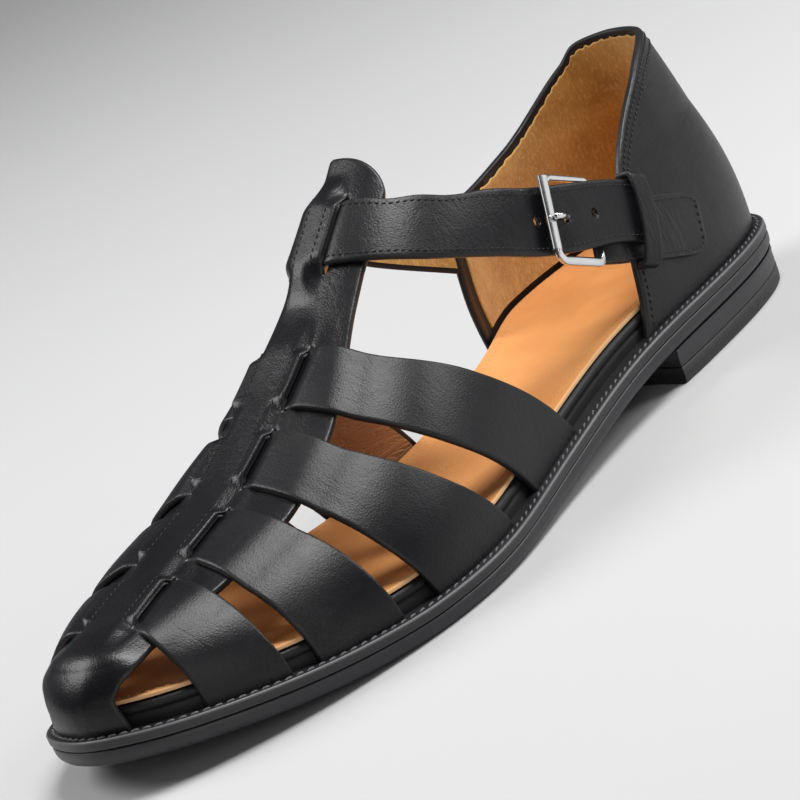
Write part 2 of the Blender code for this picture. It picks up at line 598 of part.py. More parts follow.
# ankle strap: medial quarter, under the band of the centre strap, to the buckle and keeper
over_band = []
BAND_MIDDLE = (SLOT["lateral"] + SLOT["medial"]) / 2
top_edge = {"arc": (-25, -18, -5, 8, 21.5, 36.7), "u": (142.5, 146.5, 149.6, 149.6, 146.0, 135.4)}
foot_edge = {"arc": (-25, -18, -5, 9.5, 16.4, 23.3, 31, 36.7),
             "u": (157, 161, 164.8, 164.8, 163.5, 161.1, 157, 153)}
for arc in (36.7, 29, 22, 15, 10.2, 7.1, 1.6, -3.9, -7.0, -12, -18, -25):
    top_u = np.interp(arc, top_edge["arc"], top_edge["u"])
    foot_u = np.interp(arc, foot_edge["arc"], foot_edge["u"])
    pair = []
    dip = STRAP_DIP if abs(arc - BAND_MIDDLE) < 6 else 0
    for u in (top_u, foot_u):
        v = v_at(u, arc)[0]
        spots = instep(np.array([u - 0.5, u + 0.5, u, u, u]), np.array([v, v, v - 0.004, v + 0.004, v]))
        n = np.cross(spots[1] - spots[0], spots[3] - spots[2])
        n = n / np.linalg.norm(n)
        n = n if n[2] > 0 else -n
        pair.append(spots[4] + n * (LEATHER + PIECE_GAP - dip))
    over_band.append(pair)


def wall_pair(row, side, extra):
    """Top and foot point of the strap on the heel wall."""
    stations = np.array([row["top_u"], row["foot_u"]], float)
    heights = np.array([row["top_z"], row["foot_z"]], float)
    return tuple(heel_wall(stations, heights, side, extra))


tail = [wall_pair(row, 1, TAIL_OFFSET) for row in reversed(strap_tail)]
marks = tail + [(row["top"], row["foot"]) for row in reversed(strap_lateral)] + over_band
marks = marks + [(row["top"], row["foot"]) for row in strap_medial]
marks = marks + [wall_pair(strap_root, -1, 0.0)]
marks = np.array(marks, float)
gone = np.concatenate([[0], np.cumsum(np.linalg.norm(np.diff(marks.mean(axis=1), axis=0), axis=1))])
slot_rows = gone[len(tail) + 4:len(tail) + 12]
run = np.unique(np.round(np.concatenate([np.linspace(0, gone[-1], 52), slot_rows]), 2))
edges = np.stack([[curve(gone, marks[:, e, k], run) for k in range(3)] for e in range(2)]).transpose(2, 0, 1)
share = np.linspace(0, 1, 3)[None, :, None]
outer = edges[:, :1] * (1 - share) + edges[:, 1:] * share
n = grid_normals(outer, (0, 0, 1))
away = outer[:, 1] - INSIDE_SHOE
if (n[:, 1] * away).sum(-1).mean() < 0:
    n = -n
slab("AnkleStrap", outer, outer - n * LEATHER, np.ones(outer.shape[:2], bool), strap_leather)
strap_line = outer[:, 1].copy()
strap_normal = n[:, 1].copy()
strap_up = edges[:, 0] - edges[:, 1]
strap_up /= np.linalg.norm(strap_up, axis=-1, keepdims=True)


def strap_frame(distance):
    """Centre, normal, up and forward directions of the strap at a distance from its tail."""
    centre = np.array([np.interp(distance, run, strap_line[:, k]) for k in range(3)])
    normal = np.array([np.interp(distance, run, strap_normal[:, k]) for k in range(3)])
    up = np.array([np.interp(distance, run, strap_up[:, k]) for k in range(3)])
    normal /= np.linalg.norm(normal)
    ahead = np.cross(normal, up)
    ahead /= np.linalg.norm(ahead)
    if ahead[1] > 0:
        ahead = -ahead
    up = np.cross(normal, ahead)
    up = up if up[2] > 0 else -up
    return centre, normal, up, ahead


# base tab stitched to the quarter, under the tail of the strap
def tab_points(offset):
    rows = []
    for distance in np.linspace(TAB_BACK, TAB_FRONT, 13):
        centre, normal, up, ahead = strap_frame(max(distance, 0.0))
        centre = centre + ahead * min(distance, 0.0) - up * TAB_DROP
        half = STRAP_WIDTH / 2
        if distance < TAB_TURN:
            half *= np.sqrt(max(1 - ((TAB_TURN - distance) / TAB_TURN_LONG) ** 2, 0.1))
        line = []
        for w in (-1, -0.5, 0, 0.5, 1):
            p = centre + up * half * w
            u, z = HALF_LENGTH - p[1], 0.0
            for _ in range(3):
                at = heel_wall(np.array([u]), np.array([z]), 1, 0.0)[0]
                z += p[2] - at[2]
                u -= p[1] - at[1]
            line.append(heel_wall(np.array([u]), np.array([z]), 1, offset)[0])
        rows.append(line)
    return np.array(rows)


inner, outer = tab_points(PIECE_GAP), tab_points(PIECE_GAP + TAB_THICK)
slab("StrapBase", outer, inner, np.ones(outer.shape[:2], bool), tab_leather)


def loop(name, frame, length, height, width, thick, round_by, material):
    """Closed band with a rectangular opening, its axis along the strap."""
    centre, normal, up, ahead = frame
    points = []
    faces = []
    corner = [(1, 1), (-1, 1), (-1, -1), (1, -1)]
    outline_in, outline_out = [], []
    for sx, sy in corner:
        base = np.arctan2(sy, sx)
        for k in range(3):
            a = base + (k - 1) * np.pi / 4
            r = max(round_by - thick, 0.15)
            hi, wi = height / 2 - thick, width / 2 - thick
            ho, wo = height / 2 - round_by, width / 2 - round_by
            outline_out.append((sx * ho + round_by * np.cos(a), sy * wo + round_by * np.sin(a)))
            outline_in.append((sx * (hi - r) + r * np.cos(a), sy * (wi - r) + r * np.sin(a)))
    count = len(outline_out)
    for along in (-length / 2, length / 2):
        for ring in (outline_out, outline_in):
            for a, b in ring:
                points.append(centre + ahead * along + normal * a + up * b)
    for k in range(count):
        m = (k + 1) % count
        faces.append((k, m, m + 2 * count, k + 2 * count))
        faces.append((m + count, k + count, k + 3 * count, m + 3 * count))
        faces.append((m, k, k + count, m + count))
        faces.append((k + 2 * count, m + 2 * count, m + 3 * count, k + 3 * count))
    return make_object(name, np.array(points), faces, material)


def keeper_path(rows):
    """Points of the loop's cross path, the same at both ends along the strap."""
    grid = []
    for along in (-KEEPER_LONG / 2, 0, KEEPER_LONG / 2):
        centre, normal, up, ahead = strap_frame(KEEPER_PLACE + along)
        grid.append([centre + up * w + normal * h for w, h in rows])
    return np.array(grid)


# its lower leg also goes round the lower edge of the base tab
half = STRAP_WIDTH / 2
low = -half - TAB_DROP
over = [
    (low - 1.9, -KEEPER_DEEP), (low - 1.9, -0.9), (low - 0.6, 0.9), (-half / 2, 1.8),
    (half / 2, 1.8), (half + 1.0, 1.5), (half + 1.9, 0.4), (half + 1.9, -KEEPER_DEEP),
]
under = [
    (low - 0.7, -KEEPER_DEEP), (low - 0.7, -1.4), (low + 0.2, -0.3), (-half / 2, 0.45),
    (half / 2, 0.45), (half + 0.2, 0.4), (half + 0.7, 0.1), (half + 0.7, -KEEPER_DEEP),
]
outer, inner = keeper_path(over), keeper_path(under)
slab("Keeper", outer, inner, np.ones(outer.shape[:2], bool), keeper_leather)

# buckle frame lies round the strap, long side up
# front bar over the strap and back bar under it
centre, normal, up, ahead = strap_frame(BUCKLE_PLACE)
reach = (BUCKLE_LONG - BUCKLE_BAR) / 2
over_strap = strap_frame(BUCKLE_PLACE + reach)
under_strap = strap_frame(BUCKLE_PLACE - reach)
front_bar = over_strap[0] + over_strap[1] * (BUCKLE_BAR / 2 + BAR_CLEAR)
back_bar = under_strap[0] - under_strap[1] * (LEATHER + BUCKLE_BAR / 2 + BAR_CLEAR)
bar_span = np.linalg.norm(front_bar - back_bar) + BUCKLE_BAR
buckle_mid = (front_bar + back_bar) / 2
lie = (front_bar - back_bar) / np.linalg.norm(front_bar - back_bar)
face = np.cross(up, lie)
face = face if face @ normal > 0 else -face
frame_width = STRAP_WIDTH + 2 * BUCKLE_MARGIN
frame_pose = (buckle_mid, lie, up, face)
loop("Buckle", frame_pose, BUCKLE_THICK, bar_span, frame_width, BUCKLE_BAR, BUCKLE_CORNER, polished)


OCTAGON = 0.924            # flat-to-centre distance of an octagon, by its corner radius


def rod(name, start, end, across, thick, wide, material):
    """Straight bar with a flat rectangular section."""
    start, end, across = (np.asarray(p, float) for p in (start, end, across))
    along = (end - start) / np.linalg.norm(end - start)
    across = across - along * (across @ along)
    across /= np.linalg.norm(across)
    third = np.cross(along, across)
    points = []
    for p in (start, end):
        for k in range(8):
            a = (k + 0.5) * np.pi / 4
            side_step = across * np.cos(a) * wide / 2 / OCTAGON
            points.append(p + side_step + third * np.sin(a) * thick / 2 / OCTAGON)
    faces = [tuple(range(8)), tuple(range(15, 7, -1))]
    for k in range(8):
        m = (k + 1) % 8
        faces.append((m, k, k + 8, m + 8))
    return make_object(name, np.array(points), faces, material)


hole_centre, hole_normal, hole_up, hole_ahead = strap_frame(BUCKLE_PLACE + 4.0)
prong_start = hole_centre + hole_ahead * 1.6 + hole_normal * 1.2
prong_end = front_bar + ahead * 0.6 + face * 2.5
rod("Prong", prong_start, prong_end, up, PRONG_THICK, PRONG_WIDE, prong_steel)
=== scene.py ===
# Fisherman sandal, left shoe: leather, lining, stitching, welt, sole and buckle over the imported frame.
# Shapes are worked out in millimetres; "u" is the distance forward from the heel back, y = 150 - u.
import math

import bmesh
import bpy
import numpy as np
from mathutils import Matrix, Vector


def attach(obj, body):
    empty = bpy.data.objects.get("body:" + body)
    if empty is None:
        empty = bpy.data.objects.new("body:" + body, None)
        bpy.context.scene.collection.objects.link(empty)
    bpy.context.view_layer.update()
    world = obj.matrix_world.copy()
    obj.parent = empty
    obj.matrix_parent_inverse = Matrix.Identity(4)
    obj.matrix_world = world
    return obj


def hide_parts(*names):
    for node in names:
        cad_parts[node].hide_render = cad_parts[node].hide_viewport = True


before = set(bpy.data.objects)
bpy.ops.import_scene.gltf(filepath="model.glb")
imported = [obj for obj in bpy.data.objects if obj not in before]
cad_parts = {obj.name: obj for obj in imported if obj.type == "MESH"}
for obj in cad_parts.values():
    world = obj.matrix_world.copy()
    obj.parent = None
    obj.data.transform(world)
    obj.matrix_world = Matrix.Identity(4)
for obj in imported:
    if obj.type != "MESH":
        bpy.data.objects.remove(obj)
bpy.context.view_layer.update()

sole = {"length": 300.0, "heel": 10.6, "outsole": 4.4, "welt": 3.2, "spring": 9.9, "shank": 1.9, "shelf": 3.2}
sole["thick"] = sole["outsole"] + sole["welt"]
footCentre = 2.79          # middle of the welt's width, which lies on the origin
heelY = sole["length"] / 2     # y of the heel's back

# Welt outline: distance from the heel back, then the reach to the lateral and the medial side.
outlineRows = np.array([
    [0, 0, 0], [4, 15.5, 15.5], [14, 26.5, 26.5], [35, 33.5, 34], [70, 37.5, 33.3], [110, 39.5, 18.5],
    [150, 45, 15], [190, 53, 28], [215, 53.5, 42.8], [240, 47.5, 48.5], [262, 38.5, 45], [282, 25.5, 34.5],
    [294, 13, 22.5], [300, -3.5, 3.5]], float)

# Instep: station, height of the leather over the welt, place of the ridge.
ridgeRows = np.array([
    [100, 115, -1], [125, 96, -1.5], [150, 80.5, -1.5], [175, 65.5, -3.2], [200, 51.5, -5], [225, 39.5, -7.5],
    [250, 31, -9.5], [272, 24.6, -8.5]], float)
toeEnd = {"height": 19.4, "middle": -0.5, "round": 11.0, "power": 2.5}
section = {"across": (0.79, 0.85), "height": (0.89, 0.80)}     # how full it is, lateral and medial
insideShoe = np.array([2.0, 30.0, 40.0])       # a point that the upper's faces turn away from


def curve(xs, ys, q, flatEnds=False):
    # cubic through the rows; each slope is the step-weighted mean of the rises on both sides
    xs, ys, q = np.asarray(xs, float), np.asarray(ys, float), np.asarray(q, float)
    step = np.diff(xs)
    rise = np.diff(ys) / step
    inner = (rise[:-1] * step[1:] + rise[1:] * step[:-1]) / (step[:-1] + step[1:])
    slope = np.concatenate([[rise[0]], inner, [rise[-1]]])
    if flatEnds:
        slope[[0, -1]] = 0
    i = np.clip(np.searchsorted(xs, q, side="right") - 1, 0, len(xs) - 2)
    h = xs[i + 1] - xs[i]
    t = (q - xs[i]) / h
    return ((1 + 2 * t) * (1 - t) ** 2 * ys[i] + t * (1 - t) ** 2 * h * slope[i]
            + t * t * (3 - 2 * t) * ys[i + 1] + t * t * (t - 1) * h * slope[i + 1])


def smooth(a, b, x):
    # 0 below a, 1 above b, an S curve between
    t = np.clip((np.asarray(x, float) - a) / (b - a), 0, 1)
    return t * t * (3 - 2 * t)


def plateau(a, b, c, d, x):
    # rises from a to b and falls again from c to d
    return smooth(a, b, x) * (1 - smooth(c, d, x))


def unit(vectors):
    return vectors / (np.linalg.norm(vectors, axis=-1, keepdims=True) + 1e-12)


def runAlong(line):
    # distance along a line up to each of its points
    return np.concatenate([[0], np.cumsum(np.linalg.norm(np.diff(line, axis=0), axis=1))])


def outline(count, inset, side):
    # plan curve of the welt, moved inward along its normal
    s = np.linspace(0, 1, len(outlineRows))
    q = np.linspace(0, 1, count)
    u = curve(s, outlineRows[:, 0], q, flatEnds=True)
    x = side * curve(s, outlineRows[:, 1 if side > 0 else 2], q)
    du, dx = np.gradient(u), np.gradient(x)
    du[[0, -1]] = 0
    dx[0], dx[-1] = side, -side
    size = np.hypot(du, dx)
    return u + side * dx / size * inset, x - side * du / size * inset


def floorTop(u, x):
    # top of the welt: heel, then an S down to the ball, toe spring as a power, and the shank's lift,
    # more of it on the medial side
    u = np.clip(u, 0, sole["length"])
    heel = sole["heel"] * (1 - smooth(70, 200, u))
    toe = sole["spring"] * np.clip((u - 222) / 78, 0, 1) ** 1.6
    shank = sole["shank"] * np.cos(np.pi / 2 * np.clip((u - 128) / 66, -1, 1)) ** 2 * (36 - x) / 60
    return sole["thick"] + heel + toe + shank


footLateral = outline(1200, sole["shelf"], 1)
footMedial = outline(1200, sole["shelf"], -1)
tip = float(min(footLateral[0].max(), footMedial[0].max())) - 0.02


def ridge(u):
    # height and place of the ridge; it rounds off at the toe as a superellipse
    us = np.append(ridgeRows[:, 0], tip)
    near = np.clip((u - tip + toeEnd["round"]) / toeEnd["round"], 0, 1)
    height = curve(us, np.append(ridgeRows[:, 1], toeEnd["height"]), u)
    return (height * (1 - near ** toeEnd["power"]) ** (1 / toeEnd["power"]),
            curve(us, np.append(ridgeRows[:, 2], toeEnd["middle"]), u))


def halfReach(u):
    # plan x of the foot line on both sides
    return [np.interp(u, *np.stack(line)[:, np.argsort(line[0])]) for line in (footLateral, footMedial)]


def instep(u, v):
    # leather's outer face over the last: a superellipse section from the lateral foot (v 0)
    # over the ridge (v 0.5) to the medial foot (v 1)
    u = np.clip(np.asarray(u, float), 100, tip)
    lateral, medial = halfReach(u)
    height, middle = ridge(u)
    c, s = np.cos(np.asarray(v) * np.pi), np.abs(np.sin(np.asarray(v) * np.pi))
    reach = np.where(c > 0, lateral - middle, middle - medial)
    x = middle + np.sign(c) * reach * np.abs(c) ** np.where(c > 0, *section["across"])
    z = floorTop(u, x) + height * s ** np.where(c > 0, *section["height"])
    return np.stack([x, heelY - u, z], -1)


def overPlan(u, x):
    # the same face as a height over a plan point
    u = np.clip(u, 100, tip)
    lateral, medial = halfReach(u)
    height, middle = ridge(u)
    out = x > middle
    c = np.where(out, (x - middle) / (lateral - middle + 1e-6), (middle - x) / (middle - medial + 1e-6))
    c = np.clip(c, 0, 1) ** (1 / np.where(out, *section["across"]))
    return floorTop(u, x) + height * np.sqrt(1 - c * c) ** np.where(out, *section["height"])


vFine = np.linspace(0, 1, 401)
uTable = np.concatenate([np.linspace(100, 285, 150), np.linspace(286, tip, 24)])
arcFine = np.arange(-90, 95, 0.5)
runTable = np.zeros((len(uTable), 401))
sections = instep(uTable[:, None] + 0 * vFine, vFine[None] + 0 * uTable[:, None])
runTable[:, 1:] = np.cumsum(np.linalg.norm(np.diff(sections, axis=1), axis=2), axis=1)
arcTable = runTable[:, 200:201] - runTable
placeTable = np.array([np.interp(-arcFine, -row, vFine) for row in arcTable])


def tableAt(table, u, q, firstQ, stepQ):
    # bilinear look-up over the stations and an even second axis
    i = np.clip(np.interp(u, uTable, np.arange(len(uTable))), 0, len(uTable) - 1.001)
    j = np.clip((q - firstQ) / stepQ, 0, table.shape[1] - 1.001)
    a, b = i.astype(int), j.astype(int)
    fa, fb = i - a, j - b
    near = table[a, b] * (1 - fa) + table[a + 1, b] * fa
    far = table[a, b + 1] * (1 - fa) + table[a + 1, b + 1] * fa
    return near * (1 - fb) + far * fb


def vAt(u, arc):
    # section place at a signed distance from the ridge, lateral positive
    return tableAt(placeTable, np.asarray(u, float), np.asarray(arc, float), arcFine[0], 0.5)


def arcAt(u, v):
    # signed distance from the ridge at a section place
    return tableAt(arcTable, np.asarray(u, float), np.asarray(v, float), 0.0, 1 / 400)


def lean(z, u):
    # how far the heel wall leans in: a small belly low down, then in towards the top line
    belly = np.sin(np.pi * np.clip(z, 0, 42) / 42)
    rise = np.clip(z / 65, 0, 1.2)
    w = np.clip(u / 40, 0, 1)
    return (9.0 * rise ** 2 - 1.6 * belly) * (1 - w) + (5.5 * rise ** 1.5 - 0.6 * belly) * w


heelCurves = {}
for side in (1, -1):
    ul, xl = outline(900, 0.0, side)
    du, dx = np.gradient(ul), np.gradient(xl)
    du[0], dx[0] = 0, side
    size = np.hypot(du, dx)
    heelCurves[side] = (ul, xl, -side * dx / size, side * du / size)


def heelWall(u, z, side, out):
    # point over outline station u at height z over the welt, moved out from the quarter's face
    ul, xl, nu, nx = heelCurves[side]
    atX, nuAt, nxAt = np.interp(u, ul, xl), np.interp(u, ul, nu), np.interp(u, ul, nx)
    back = sole["shelf"] + lean(z, u) - out
    return np.stack([atX - nxAt * back, heelY - (u - nuAt * back), floorTop(u, atX) + z], -1)


def gridNormals(points, outward):
    # cross product of the grid's two directions, turned to the outward side
    n = unit(np.cross(np.gradient(points, axis=0), np.gradient(points, axis=1)))
    return n if n[n.shape[0] // 2, n.shape[1] // 2] @ np.asarray(outward, float) > 0 else -n


def addMesh(name, points, faces, materials, indexes=None, merge=0.00001, marks=None, sharp=50, ride=True):
    # millimetre points become a mesh at the origin; marks are one number per point for the materials
    mesh = bpy.data.meshes.new(name)
    placed = (np.asarray(points, float) - np.array([footCentre, 0.0, 0.0])) / 1000.0
    mesh.from_pydata(placed.tolist(), [], faces.tolist() if isinstance(faces, np.ndarray) else faces)
    for label in ("edge", "strain"):
        layer = mesh.attributes.new(label, "FLOAT", "POINT")
        values = (marks or {}).get(label, np.zeros(len(placed)))
        layer.data.foreach_set("value", np.asarray(values, np.float32).ravel())
    for material in materials:
        mesh.materials.append(material)
    if indexes is not None:
        mesh.polygons.foreach_set("material_index", np.asarray(indexes, np.int32))
    if merge:
        bm = bmesh.new()
        bm.from_mesh(mesh)
        bmesh.ops.remove_doubles(bm, verts=bm.verts, dist=merge)
        bmesh.ops.dissolve_degenerate(bm, edges=bm.edges, dist=0.000001)
        bmesh.ops.delete(bm, geom=[v for v in bm.verts if not v.link_faces], context="VERTS")
        bmesh.ops.recalc_face_normals(bm, faces=bm.faces)
        bm.to_mesh(mesh)
        bm.free()
    mesh.shade_smooth()
    mesh.set_sharp_from_angle(angle=math.radians(sharp))
    piece = bpy.data.objects.new(name, mesh)
    bpy.context.scene.collection.objects.link(piece)
    if ride:
        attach(piece, "root")
    return piece


def standsFor(piece, cadName):
    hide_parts(cadName)


def roundedEdge(distance, radius):
    # drop of the face near a free edge: a quarter circle of the radius
    t = np.clip(1 - np.asarray(distance, float) / radius, 0, 1)
    return radius * (1 - np.sqrt(1 - t * t))


def gridWalls(keep, shift):
    # wall quads between two stacked grids wherever a kept cell borders a missing one
    rows, cols = keep.shape[0] + 1, keep.shape[1] + 1
    number = np.arange(rows * cols).reshape(rows, cols)
    a, b, c, d = number[:-1, :-1], number[1:, :-1], number[1:, 1:], number[:-1, 1:]
    pad = np.pad(keep, 1)
    walls = []
    for p, q, beside in ((d, a, pad[:-2, 1:-1]), (b, c, pad[2:, 1:-1]),
                         (a, b, pad[1:-1, :-2]), (c, d, pad[1:-1, 2:])):
        bare = keep & ~beside
        walls.append(np.stack([q[bare], p[bare], p[bare] + shift, q[bare] + shift], -1))
    return np.stack([a, b, c, d], -1)[keep], np.concatenate(walls)


def leatherSheet(name, points, normals, sheet, distance, material, lining=None, keep=None, strain=None):
    # closed sheet: near a free edge the outer face drops by a quarter circle, and the inner one
    # rises by part of it and is painted
    distance = np.broadcast_to(distance, points.shape[:2])
    rows, cols = points.shape[:2]
    if keep is None:
        keep = np.ones((rows - 1, cols - 1), bool)
    drop = roundedEdge(distance, sheet["edge"])
    outer = points - normals * drop[..., None]
    inner = points - normals * (sheet["thick"] - drop * 0.55)[..., None]
    top, walls = gridWalls(keep, rows * cols)
    faces = np.concatenate([top, top[:, ::-1] + rows * cols, walls])
    middle = (distance[:-1, :-1] + distance[1:, 1:])[keep] / 2
    painted = np.where(middle < sheet.get("paint", 1.4), 0, 1 if lining else 0)
    kinds = np.concatenate([np.zeros(len(top)), painted, np.zeros(len(walls))])
    worn = np.exp(-(np.asarray(distance) / sheet.get("worn", 0.9)) ** 2)
    strain = np.zeros((rows, cols)) if strain is None else strain
    return addMesh(name, np.concatenate([outer.reshape(-1, 3), inner.reshape(-1, 3)]), faces,
                   [material] + ([lining] if lining else []), kinds,
                   marks={"edge": np.tile(worn.ravel(), 2), "strain": np.tile(strain.ravel(), 2)})


def edged(length, count, radius=0.9):
    # fractions of a length with close steps inside the radius at both ends
    close = radius * np.array([0, 0.05, 0.15, 0.32, 0.6, 1.0])
    wide = np.linspace(radius, length - radius, count)[1:-1]
    return np.concatenate([close, wide, length - close[::-1]]) / length


def tube(name, path, radius, sides, material, flat, up):
    # oval section carried along a path, capped at both ends
    ahead = unit(np.gradient(path, axis=0))
    across = unit(np.cross(ahead, np.broadcast_to(up, path.shape)))
    third = np.cross(across, ahead)
    a = np.linspace(0, 2 * np.pi, sides, endpoint=False)[:, None]
    r = np.broadcast_to(np.asarray(radius, float), (len(path),))[:, None, None]
    ring = path[:, None] + r * (across[:, None] * np.cos(a) + third[:, None] * np.sin(a) * flat)
    number = np.arange(len(path) * sides).reshape(len(path), sides)
    nxt = np.roll(number, -1, 1)
    faces = np.stack([number[:-1], nxt[:-1], nxt[1:], number[1:]], -1).reshape(-1, 4).tolist()
    faces += [number[0][::-1].tolist(), number[-1].tolist()]
    return addMesh(name, ring.reshape(-1, 3), faces, [material], merge=None)


stitchParts = {}


def stitchRow(kind, line, normals, settings):
    # evenly spaced stitches along a line; each is a bowed capsule that dips at both ends
    run = runAlong(line)
    count = max(int(run[-1] / settings["pitch"]), 1)
    starts = (np.arange(count) + 0.5) / count * run[-1]
    t = np.linspace(-1, 1, 6)
    at = starts[:, None] + t[None] * settings["length"] / 2
    centre, normal = (np.stack([np.interp(at, run, rows[:, k]) for k in range(3)], -1)
                      for rows in (line, normals))
    normal = unit(normal)
    across = np.cross(normal, unit(np.gradient(centre, axis=1)))
    rise = settings["lift"] - settings["dip"] * t ** 4
    centre = centre + across * (settings.get("slant", 0.0) * t)[:, None] + normal * rise[:, None]
    a = np.linspace(0, 2 * np.pi, 6, endpoint=False)[:, None]
    radius = (settings["radius"] * np.sqrt(np.clip(1 - (t * 0.96) ** 4, 0.05, 1)))[:, None, None]
    ring = centre[:, :, None] + radius * (across[:, :, None] * np.cos(a) + normal[:, :, None] * np.sin(a))
    number = np.arange(36).reshape(6, 6)
    nxt = np.roll(number, -1, 1)
    quads = np.stack([number[:-1], nxt[:-1], nxt[1:], number[1:]], -1).reshape(-1, 4)
    thread = stitchParts.setdefault(kind, {"points": [], "faces": [], "count": 0})
    first = np.arange(count)[:, None] * number.size + thread["count"]
    thread["points"].append(ring.reshape(-1, 3))
    thread["faces"] += (quads[None] + first[..., None]).reshape(-1, 4).tolist()
    for end in (number[0][::-1], number[-1]):
        thread["faces"] += (end[None] + first).tolist()
    thread["count"] += count * number.size


def sewStitches(kind, material):
    # all the rows of one thread become one piece
    thread = stitchParts[kind]
    piece = addMesh(kind, np.concatenate(thread["points"]), thread["faces"], [material], merge=None)


# materials: small helpers first, then the shared effects
def newGroup(name, inputs, outputs):
    # inputs give their first values: a number, a vector, or None for a vector that is always linked
    group = bpy.data.node_groups.new(name, "ShaderNodeTree")
    for label, value in inputs.items():
        kind = "NodeSocketFloat" if isinstance(value, float) else "NodeSocketVector"
        socket = group.interface.new_socket(name=label, in_out="INPUT", socket_type=kind)
        if value is not None:
            socket.default_value = value
    for label in outputs:
        group.interface.new_socket(name=label, in_out="OUTPUT", socket_type="NodeSocketFloat")
    return group, group.nodes.new("NodeGroupInput"), group.nodes.new("NodeGroupOutput")


def feed(tree, socket, value):
    # links a socket to what feeds it, or sets its value; a colour may be given as three numbers
    if isinstance(value, bpy.types.NodeSocket):
        tree.links.new(value, socket)
    elif socket.type == "RGBA":
        socket.default_value = (*value, 1)
    else:
        socket.default_value = value


def node(tree, kind, settings=None, **links):
    # makes a node; keywords name its inputs, and i0, i1 count them
    made = tree.nodes.new("ShaderNode" + kind)
    for key, value in (settings or {}).items():
        setattr(made, key, value)
    for key, value in links.items():
        feed(tree, made.inputs[int(key[1:]) if key[1:].isdigit() else key], value)
    return made


def noise(tree, place, scale, detail, **more):
    return node(tree, "TexNoise", Vector=place, Scale=scale, Detail=detail, **more).outputs["Fac"]


def mathNode(tree, operation, a, b=0.0, c=0.0, clamp=False):
    return node(tree, "Math", {"operation": operation, "use_clamp": clamp}, i0=a, i1=b, i2=c).outputs[0]


def mixColour(tree, factor, a, b):
    return node(tree, "Mix", {"data_type": "RGBA"}, i0=factor, i6=a, i7=b).outputs[2]


def ramp(tree, value, stops):
    # black-to-white ramp between two (place, level) stops
    made = node(tree, "ValToRGB", i0=value)
    for element, (place, level) in zip(made.color_ramp.elements, stops):
        element.position = place
        element.color = (level, level, level, 1)
    return made.outputs[0]


def grainGroup():
    # pores and pebbles: distance to cell edges of a fine Voronoi, broken by noise;
    # Tone varies slowly over the hide
    group, a, b = newGroup("hideGrain", {"Vector": None, "Scale": 900.0, "Break": 0.5}, ("Height", "Tone"))
    warp = node(group, "TexNoise", Vector=a.outputs[0], Scale=260.0, Detail=3.0)
    shift = node(group, "VectorMath", {"operation": "SCALE"}, i0=warp.outputs["Color"], Scale=0.0012)
    place = node(group, "VectorMath", {"operation": "ADD"}, i0=a.outputs[0], i1=shift.outputs[0])
    cells = node(group, "TexVoronoi", {"feature": "DISTANCE_TO_EDGE"}, Vector=place.outputs[0],
                 Scale=a.outputs[1])
    pebble = ramp(group, cells.outputs["Distance"], ((0.0, 0.0), (0.35, 1.0)))
    fine = noise(group, a.outputs[0], 2600.0, 4.0, Roughness=0.6)
    feed(group, b.inputs[0], mathNode(group, "MULTIPLY_ADD", fine, a.outputs[2], pebble))
    feed(group, b.inputs[1], noise(group, a.outputs[0], 38.0, 5.0, Roughness=0.6))
    return group


def wrinkleGroup():
    # long soft wrinkles: warped noise squeezed along the chosen axis, its mid level drawn out as valleys
    group, a, b = newGroup("softWrinkles", {"Vector": None, "Stretch": (1.0, 1.0, 1.0), "Scale": 160.0,
                                            "Turn": (0.0, 0.0, 0.0)}, ("Height", "Valley"))
    turned = node(group, "Mapping", Vector=a.outputs[0], Rotation=a.outputs[3], Scale=a.outputs[1])
    body = noise(group, turned.outputs[0], a.outputs[2], 4.0, Roughness=0.55, Distortion=0.35)
    off = mathNode(group, "ABSOLUTE", mathNode(group, "SUBTRACT", body, 0.5))
    valley = ramp(group, off, ((0.0, 1.0), (0.07, 0.0)))
    feed(group, b.inputs[0], mathNode(group, "MULTIPLY_ADD", valley, -0.55, body))
    feed(group, b.inputs[1], valley)
    return group


def dustGroup():
    # light dust and faint rubbing: two noises multiplied and drawn out into sparse patches
    group, a, b = newGroup("dustPatches", {"Vector": None, "Scale": 60.0}, ("Mask",))
    wide, tight = noise(group, a.outputs[0], a.outputs[1], 4.0), noise(group, a.outputs[0], 1500.0, 2.0)
    both = mathNode(group, "MULTIPLY", wide, tight)
    feed(group, b.inputs[0], ramp(group, both, ((0.24, 0.0), (0.42, 1.0))))
    return group


groups = {"grain": grainGroup(), "wrinkle": wrinkleGroup(), "dust": dustGroup()}


def newMaterial(name, roughness, specular=0.5, metallic=0.0):
    material = bpy.data.materials.new(name)
    material.use_nodes = True
    tree = material.node_tree
    shader = tree.nodes["Principled BSDF"]
    shader.inputs["Roughness"].default_value = roughness
    shader.inputs["Specular IOR Level"].default_value = specular
    shader.inputs["Metallic"].default_value = metallic
    return material, tree, shader, tree.nodes.new("ShaderNodeTexCoord").outputs["Object"]


def use(tree, which, place, **values):
    made = node(tree, "Group", {"node_tree": groups[which]}, Vector=place, **values)
    return made.outputs


def attribute(tree, name):
    return node(tree, "Attribute", {"attribute_name": name, "attribute_type": "GEOMETRY"}).outputs["Fac"]


def bump(tree, height, strength, distance, **before):
    return node(tree, "Bump", Strength=strength, Distance=distance, Height=height, **before).outputs[0]


def finish(tree, shader, **sockets):
    # feeds the shader: colour, rough and normal
    for label, key in (("Base Color", "colour"), ("Roughness", "rough"), ("Normal", "normal")):
        if key in sockets:
            tree.links.new(sockets[key], shader.inputs[label])


